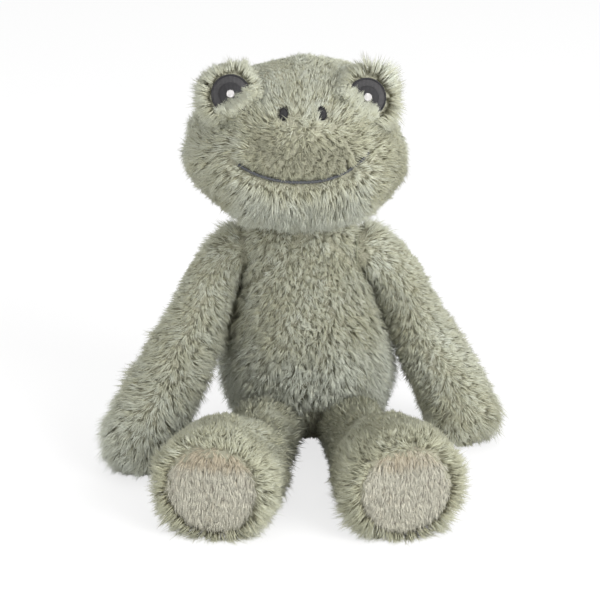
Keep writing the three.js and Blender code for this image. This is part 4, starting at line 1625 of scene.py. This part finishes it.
class FROG_PG_soles(PropertyGroup):
    density: amount_property("Clump density", "Clumps on a square metre of sole", 600000.0)
    length: length_property("Pile length", "Length of the soles' pile", 0.0075)
    root_colour: colour_property("Root colour", "Sole pile at its roots", linear(156, 154, 143))
    middle_colour: colour_property("Middle colour", "Sole pile half way up", linear(186, 183, 168))
    tip_colour: colour_property("Tip colour", "Sole pile at its tips", linear(203, 201, 187))
    warm_tint: colour_property("Warm tint", "What multiplies the warmest strands", (1.0, 0.91, 0.82))
    tint_spread: share_property("Tint spread", "How much lighter and darker strands are", 0.14)
    backing_colour: colour_property("Backing colour", "Cloth of the soles", linear(160, 154, 141))


class FROG_PG_face(PropertyGroup):
    eye_colour: colour_property("Eye colour", "Thread of the eye discs", linear(61, 60, 61))
    pupil_colour: colour_property(
        "Pupil colour", "Thread of the pupils, outlines and nostrils", linear(38, 37, 39),
    )
    highlight_colour: colour_property(
        "Highlight colour", "Thread of the highlights", linear(186, 183, 182),
    )
    mouth_colour: colour_property("Mouth colour", "Thread of the mouth", linear(80, 82, 85))
    mouth_radius: length_property("Mouth thread radius", "Radius of the mouth's thread", 0.00102)


class FROG_PG_inside(PropertyGroup):
    filling_colour: colour_property("Filling colour", "Fibre filling", linear(232, 229, 220))
    pouch_colour: colour_property("Pouch colour", "Cloth of the pellets", linear(206, 201, 186))
    seam_colour: colour_property("Seam colour", "Sewing thread", linear(125, 127, 106))


class FROG_PG_stage(PropertyGroup):
    camera_distance: length_property("Camera distance", "From the lens to what it looks at", 1.2)
    camera_elevation: angle_property(
        "Camera elevation", "How far the camera looks down", float(np.radians(20)),
    )
    focal_length: amount_property("Focal length", "Of the lens, in millimetres", 120.0)
    key_power: amount_property("Key light", "Light from the upper right", 40.0, unit="POWER")
    fill_power: amount_property("Fill light", "Light from the left", 8.0, unit="POWER")
    top_power: amount_property("Top light", "Light from above", 5.0, unit="POWER")
    ambient: amount_property("Ambient light", "Strength of the light from all around", 0.78)


def quarters(behind, low, high_front, low_front, high_back, low_back):
    """Tests of strands' roots for the four quarters of a form, by the suffixes of their pieces."""
    return {
        high_front: lambda roots: (roots[:, 1] < behind) & (roots[:, 2] >= low),
        low_front: lambda roots: (roots[:, 1] < behind) & (roots[:, 2] < low),
        high_back: lambda roots: (roots[:, 1] >= behind) & (roots[:, 2] >= low),
        low_back: lambda roots: (roots[:, 1] >= behind) & (roots[:, 2] < low),
    }


class FROG_OT_head(Operator):
    """Make the head's cover, its filling and its pile"""

    bl_idname = "frog.head"
    bl_label = "Head"

    def execute(self, context):
        shape = stuffed_part("head", "", "head", head_shape, cover_insets(), (90, 120))
        rng = np.random.default_rng(11)
        rules = pile_rules(
            seed=21, shade=head_shade, matted=head_matted,
            buried=(lambda points: inside_either(inside_mound, points, 1.0),),
        )
        strands = lay_both(shape, rng, head_flow, head_length, head_lift, rules)
        _, behind, low = from_head(HEAD_PLACE + 0.52 * HEAD_SIZE["height"] * UP)
        parts = quarters(behind, low, "_face", "_chin", "_back", "_nape")
        pile_pieces("head_pile", "head", "fur", strands, fur_material(), parts)
        return {"FINISHED"}


class FROG_OT_neck(Operator):
    """Make the cover and pile of the neck"""

    bl_idname = "frog.neck"
    bl_label = "Neck"

    def execute(self, context):
        angles = np.linspace(0, np.pi, 9)
        profile = np.column_stack([np.sin(angles), -np.cos(angles)]) * (NECK_RADIUS + 0.2)
        shape = lathe_shape(profile, np.eye(3), NECK)
        cells, cloth = (20, 32), backing_material()
        skin_piece("neck_cover", "neck", shape, cells, "neck_filling", cloth, "fur")
        rng = np.random.default_rng(12)
        rules = pile_rules(seed=22)
        strands = lay_both(shape, rng, lambda p, n: n - UP, even(6.0), even(0.3), rules)
        pile_pieces("neck_pile", "neck", "fur", strands, fur_material())
        paint_node("neck_seam", seam_material())
        return {"FINISHED"}


class FROG_OT_body(Operator):
    """Make the body's cover, its filling, its pellet pouch and its pile"""

    bl_idname = "frog.body"
    bl_label = "Body"

    def execute(self, context):
        shape = stuffed_part("body", "", "torso", body_shape, cover_insets(), (90, 110))
        low, high = node_corners("pellet_pouch")
        angles = np.linspace(0, np.pi, 11)
        profile = np.column_stack([np.sin(angles) ** 0.8, -np.cos(angles)])
        pouch = lathe_shape(profile, np.diag((high - low) / 2), (low + high) / 2)
        knobbly = raised_shape(pouch, lambda points: 0.35 * broad_noise(points, 73, 4) - 0.4)
        bag = closed_piece("pellet_bag", knobbly, 40, 56, pouch_material())
        fit(bag, "torso", "pellets", "pellet_pouch")
        rng = np.random.default_rng(13)
        buried = (
            lambda points: inside_either(inside_arm, points, 3.0),
            lambda points: inside_either(inside_leg, points, 3.0),
            lambda points: inside_head(points, 4.0),
            back_seam_gap,
        )
        rules = pile_rules(seed=23, matted=body_matted, shade=body_shade, buried=buried)
        strands = lay_both(shape, rng, body_flow, body_length, body_lift, rules)
        parts = quarters(BODY_BEHIND, WAIST, "_chest", "_belly", "_back", "_seat")
        pile_pieces("body_pile", "torso", "fur", strands, fur_material(), parts)
        paint_node("back_seam", seam_material())
        return {"FINISHED"}


def limb_rules(**changes):
    """The rules of a limb's pile, which lies to the floor and stops in the body."""
    return pile_rules(lowest=-5.0, buried=(lambda points: inside_body(points, 2.0),), **changes)


class FROG_OT_arms(Operator):
    """Make the arms' covers, their fillings and their pile"""

    bl_idname = "frog.arms"
    bl_label = "Arms"

    def execute(self, context):
        for number, side in enumerate(SIDES):
            body = f"arm_{side}"
            shape = stuffed_part(
                "arm", f"_{side}", body, lambda inset: arm_shape(side, inset), cover_insets(),
                (70, 48),
            )
            rng = np.random.default_rng(14 + number)
            rules = limb_rules(seed=24 + number, shade=arm_shade(side))
            strands = lay_both(shape, rng, arm_flow(side), arm_length(side), even(0.38), rules)
            pile_pieces(f"arm_pile_{side}", body, "fur", strands, fur_material())
            paint_node(f"arm_seam_{side}", seam_material())
        return {"FINISHED"}


class FROG_OT_legs(Operator):
    """Make the legs' covers, their fillings and their pile"""

    bl_idname = "frog.legs"
    bl_label = "Legs"

    def execute(self, context):
        for number, side in enumerate(SIDES):
            body = f"leg_{side}"
            shape = stuffed_part(
                "leg", f"_{side}", body, lambda inset: leg_shape(side, inset), cover_insets(),
                (80, 60),
            )
            rng = np.random.default_rng(16 + number)
            rules = limb_rules(seed=26 + number, matted=even(0.08), shade=leg_shade(side))
            laid = lay_both(shape, rng, leg_flow(side), leg_length(side), leg_lift(side), rules)
            fringe = fringe_strands(side, shape, rng, rules)
            strands = [np.concatenate(pair) for pair in zip(laid, fringe)]
            axes, sole = sole_axes(side)
            parts = {
                "_foot": lambda roots: (roots - sole) @ axes[2] > SHIN_END,
                "_shin": lambda roots: (roots - sole) @ axes[2] <= SHIN_END,
            }
            pile_pieces(f"leg_pile_{side}", body, "fur", strands, fur_material(), parts)
        return {"FINISHED"}


class FROG_OT_soles(Operator):
    """Make the soles' cushions and their short pile"""

    bl_idname = "frog.soles"
    bl_label = "Soles"

    def execute(self, context):
        look = context.scene.frog_soles
        for number, side in enumerate(SIDES):
            body, slot = f"leg_{side}", "sole_cloth"
            axes, middle = sole_axes(side)
            shape = lathe_shape(SOLE_PROFILE * [SOLE_REACH, 1], axes, middle)
            skin_piece(
                f"sole_cover_{side}", body, shape, (40, 72), f"sole_pad_{side}",
                sole_backing_material(), slot,
            )
            rng = np.random.default_rng(18 + number)
            rules = pile_rules(
                seed=28 + number, strands=5, spread=0.7, width=0.44, matted=even(0.03),
                swirl=0.12, sag=0.0, shade=sole_shade(side),
                buried=(lambda points: ((points - middle) @ axes.T)[:, 2] < SOLE_PILE_END,),
            )
            count = count_on(shape, look.density)
            length = even(look.length / MM)
            strands = lay_pile(shape, rng, count, lambda p, n: 0.0 * p - UP, length, even(0.14), rules)
            pile_pieces(f"sole_pile_{side}", body, slot, strands, sole_material())
        return {"FINISHED"}


def stitched_dome(side, radius, lift, thickness):
    """A cap over the eye's dome, its rim turned down to a flat back."""
    axes, top = eye_axes(side)
    angles = np.linspace(0, np.arcsin(radius / MOUND_DOME), 7)
    arc = np.column_stack([np.sin(angles), np.cos(angles)])
    front = arc * (MOUND_DOME + lift + thickness) - [0, MOUND_DOME]
    rim = [[radius + 0.18, front[-1, 1] - 0.6 * thickness]]
    back = (arc * (MOUND_DOME + lift) - [0, MOUND_DOME])[::-1]
    return lathe_shape(np.vstack([front, rim, back]), axes, top)


def eye_outline(side):
    """The ring round the eye's disc that its outline thread follows."""
    axes, top = eye_axes(side)
    reach = EYE_RADIUS + 0.35
    turn = 2 * np.pi * np.arange(120)[:, None] / 120
    height = np.sqrt((MOUND_DOME + 1.2) ** 2 - reach**2) - MOUND_DOME
    return top + reach * (np.cos(turn) * axes[0] + np.sin(turn) * axes[1]) + height * axes[2]


class FROG_OT_eyes(Operator):
    """Make the eye mounds, their pile and the embroidered eyes"""

    bl_idname = "frog.eyes"
    bl_label = "Eyes"

    def execute(self, context):
        for number, side in enumerate(SIDES):
            self.make_mound(number, side)
            self.make_stitches(context.scene.frog_face, side)
            axes, top = eye_axes(side)
            round_axes = np.array([HIGHLIGHT_RADIUS, HIGHLIGHT_RADIUS, 1.0])[:, None] * axes
            rng = np.random.default_rng(38 + number)
            fuzz = fuzz_strands(round_axes, top + 1.9 * axes[2], 0.7, 90, rng)
            material = fuzz_material("Light thread fuzz", context.scene.frog_face.highlight_colour)
            pile_pieces(f"highlight_fuzz_{side}", "head", "highlight_thread", fuzz, material)
        return {"FINISHED"}

    def make_mound(self, number, side):
        """The mound's cover and filling, its pile and the lid of pile over the eye."""
        insets = EYE_COVER_INSET, EYE_FILLING_INSET
        shape = stuffed_part(
            "eye_mound", f"_{side}", "head", lambda inset: mound_shape(side, inset), insets,
            (40, 48),
        )
        rng = np.random.default_rng(30 + number)
        rules = pile_rules(
            seed=32 + number, thickness=2.2, lift_noise=0.08, matted=even(0.06), shade=even(0.51),
            buried=(lambda points: inside_head(points, 3.0),),
        )
        strands = lay_both(shape, rng, mound_flow(side), mound_length(side), even(0.75), rules)
        pile_pieces(f"eye_mound_pile_{side}", "head", "fur", strands, fur_material())
        lid = lid_strands(side, np.random.default_rng(34 + number))
        pile_pieces(f"eye_lid_pile_{side}", "head", "fur", lid, fur_material())

    def make_stitches(self, look, side):
        """The caps of the disc, pupil and highlight, and the twisted outline thread."""
        eye_thread = thread_material("Eye thread", look.eye_colour)
        pupil_thread = pupil_thread_material()
        highlight_thread = thread_material("Highlight thread", look.highlight_colour)
        for name, radius, lift, thickness, material, slot in (
            ("eye_disc", EYE_RADIUS, 0.3, 0.9, eye_thread, "eye_thread"),
            ("pupil", PUPIL_RADIUS, 1.2, 0.6, pupil_thread, "pupil_thread"),
            ("eye_highlight", HIGHLIGHT_RADIUS, 1.8, 0.6, highlight_thread, "highlight_thread"),
        ):
            shape = stitched_dome(side, radius, lift, thickness)
            cap = closed_piece(f"{name}_stitches_{side}", shape, 30, 72, material)
            fit(cap, "head", slot, f"{name}_{side}")
        path = eye_outline(side)
        ring = tube_piece(f"eye_outline_thread_{side}", path, 0.75, pupil_thread, 26, True)
        fit(ring, "head", "pupil_thread", f"eye_outline_{side}")


def face_at(inset, x, z):
    """Places on the front of the head's cover at x across and z up in the head's frame."""
    fine = np.linspace(0, 1, 600)
    middle, half_width, _ = upright_ring(HEAD_SHARES, HEAD_SIZE, inset, fine)
    s = np.interp(z - HEAD_LOW, middle[:, 2], fine)
    width = np.interp(s, fine, half_width)
    x = x - np.interp(s, fine, middle[:, 0])
    cosine = np.sign(x) * (np.abs(x) / width) ** (RING_EXPONENT / 2)
    t = 1 - np.arccos(np.clip(cosine, -1, 1)) / (2 * np.pi)
    return s, t


class FROG_OT_mouth(Operator):
    """Make the embroidered nostrils and the thread of the mouth"""

    bl_idname = "frog.mouth"
    bl_label = "Nostrils and mouth"

    def execute(self, context):
        look = context.scene.frog_face
        shape = head_shape(cover_inset())
        x = np.linspace(-MOUTH_HALF_WIDTH, MOUTH_HALF_WIDTH, 200)
        s, t = face_at(cover_inset(), x + FACE_SIDE, mouth_height(x))
        path = shape(s, t) + 2.3 * normals_of(shape, s, t)
        thread = thread_material("Mouth thread", look.mouth_colour, 900.0)
        mouth = tube_piece("mouth_twisted_thread", path, look.mouth_radius / MM, thread, 17)
        fit(mouth, "head", "mouth_thread", "mouth_thread")
        fuzz_colour = fuzz_material("Dark thread fuzz", look.pupil_colour)
        for number, (side, direction) in enumerate(SIDES.items()):
            x = np.array([direction * NOSTRIL_SPREAD])
            z = np.array([CROWN - NOSTRIL_BELOW_CROWN])
            s, t = face_at(cover_inset(), x + FACE_SIDE, z)
            across, upward, forward = axes_along(normals_of(shape, s, t)[0])
            middle = shape(s, t)[0] + 0.6 * upward
            axes = np.array([NOSTRIL_HALF_WIDTH * across, NOSTRIL_HALF_HEIGHT * upward, forward])
            nostril = closed_piece(
                f"nostril_stitches_{side}", lathe_shape(NOSTRIL_PROFILE, axes, middle), 20, 40,
                pupil_thread_material(),
            )
            fit(nostril, "head", "pupil_thread", f"nostril_{side}")
            rng = np.random.default_rng(40 + number)
            fuzz = fuzz_strands(axes, middle + 0.9 * forward, 1.7, 190, rng)
            pile_pieces(f"nostril_fuzz_{side}", "head", "pupil_thread", fuzz, fuzz_colour)
        return {"FINISHED"}


def mix_in_white(tree, kind, share, shader, end):
    """Mixes a share of plain white light into a shader, and ends the tree with it."""
    white = new_node(tree, kind, {"Color": (1, 1, 1, 1), "Strength": 1.0})
    links = {0: share, 1: shader.outputs[0], 2: white.outputs[0]}
    mixed = new_node(tree, "ShaderNodeMixShader", links)
    tree.links.new(mixed.outputs[0], tree.nodes[end].inputs["Surface"])


class FROG_OT_stage(Operator):
    """Make the floor, the lights, the surroundings and the camera"""

    bl_idname = "frog.stage"
    bl_label = "Stage"

    def execute(self, context):
        scene, look = context.scene, context.scene.frog_stage
        scene.view_settings.view_transform = "Standard"
        target = Vector((STAGE_TARGET + SHIFT) * MM)
        back = Vector((0, -np.cos(look.camera_elevation), np.sin(look.camera_elevation)))
        lens = bpy.data.cameras.new("camera")
        lens.lens = look.focal_length
        lens.sensor_width = 36.0
        lens.clip_end = 50.0
        camera = bpy.data.objects.new("camera", lens)
        scene.collection.objects.link(camera)
        camera.location = target + back * look.camera_distance
        camera.rotation_euler = (np.pi / 2 - look.camera_elevation, 0, 0)
        scene.camera = camera
        self.make_floor()
        self.make_world(scene, look.ambient)
        for name, power, place, size in (
            ("key_light", look.key_power, (1.2, -1.15, 0.95), 1.0),
            ("fill_light", look.fill_power, (-1.1, -1.2, 0.5), 1.1),
            ("top_light", look.top_power, (0.1, 0.3, 1.6), 1.1),
        ):
            self.make_light(scene, name, power, place, size, target)
        return {"FINISHED"}

    def make_light(self, scene, name, power, place, size, target):
        """A square lamp that points at the target."""
        lamp = bpy.data.lights.new(name, "AREA")
        lamp.energy = power
        lamp.size = size
        light = bpy.data.objects.new(name, lamp)
        light.location = place
        light.rotation_euler = (target - light.location).to_track_quat("-Z", "Y").to_euler()
        scene.collection.objects.link(light)

    def make_floor(self):
        """A pale floor, which glows a little to the camera so that it stays near white."""
        corners = np.array([[-1, -1, 0], [1, -1, 0], [1, 1, 0], [-1, 1, 0]])
        points = corners * FLOOR_REACH / MM - SHIFT
        material, tree, shader = bare_material("Pale floor", 0.9, 0.0)
        shader.inputs["Base Color"].default_value = (0.9, 0.9, 0.9, 1)
        shader.inputs["Specular IOR Level"].default_value = 0.1
        path = new_node(tree, "ShaderNodeLightPath")
        share = worked_out(tree, "MULTIPLY", path.outputs["Is Camera Ray"], 0.75)
        mix_in_white(tree, "ShaderNodeEmission", share, shader, "Material Output")
        floor = add_mesh("floor", points, np.arange(4), np.zeros(1), material, smooth=False)

    def make_world(self, scene, ambient):
        """Soft light from all around, and plain white where the camera or a reflection sees it."""
        world = bpy.data.worlds.new("surroundings")
        world.use_nodes = True
        tree = world.node_tree
        soft = tree.nodes["Background"]
        soft.inputs["Color"].default_value = (1, 1, 1, 1)
        soft.inputs["Strength"].default_value = ambient
        rays = new_node(tree, "ShaderNodeLightPath").outputs
        seen = worked_out(tree, "MAXIMUM", rays["Is Camera Ray"], rays["Is Glossy Ray"])
        seen = worked_out(tree, "MAXIMUM", seen, rays["Is Transmission Ray"])
        mix_in_white(tree, "ShaderNodeBackground", seen, soft, "World Output")
        scene.world = world


OPERATORS = (
    FROG_OT_stage,
    FROG_OT_head,
    FROG_OT_eyes,
    FROG_OT_mouth,
    FROG_OT_neck,
    FROG_OT_body,
    FROG_OT_arms,
    FROG_OT_legs,
    FROG_OT_soles,
)
SETTINGS = {
    "frog_pile": FROG_PG_pile,
    "frog_soles": FROG_PG_soles,
    "frog_face": FROG_PG_face,
    "frog_inside": FROG_PG_inside,
    "frog_stage": FROG_PG_stage,
}


class FROG_PT_panel(Panel):
    """Sizes, colours and makers of the plush frog"""

    bl_idname = "FROG_PT_panel"
    bl_label = "Plush frog"
    bl_space_type = "VIEW_3D"
    bl_region_type = "UI"
    bl_category = "Frog"

    def draw(self, context):
        layout = self.layout
        for operator in OPERATORS:
            layout.operator(operator.bl_idname)
        for label in SETTINGS:
            box = layout.box()
            settings = getattr(context.scene, label)
            for field in settings.bl_rna.properties:
                if field.identifier not in ("rna_type", "name"):
                    box.prop(settings, field.identifier)


def register():
    """Adds the settings, the operators and the panel."""
    for kind in (*SETTINGS.values(), *OPERATORS, FROG_PT_panel):
        bpy.utils.register_class(kind)
    for label, kind in SETTINGS.items():
        setattr(bpy.types.Scene, label, PointerProperty(type=kind))


def unregister():
    """Takes them away again."""
    for label in SETTINGS:
        delattr(bpy.types.Scene, label)
    for kind in (FROG_PT_panel, *reversed(OPERATORS), *reversed(SETTINGS.values())):
        bpy.utils.unregister_class(kind)


def main():
    """Makes the whole frog and its stage."""
    register()
    for operator in OPERATORS:
        group, name = operator.bl_idname.split(".")
        getattr(getattr(bpy.ops, group), name)()


if __name__ == "__main__":
    main()
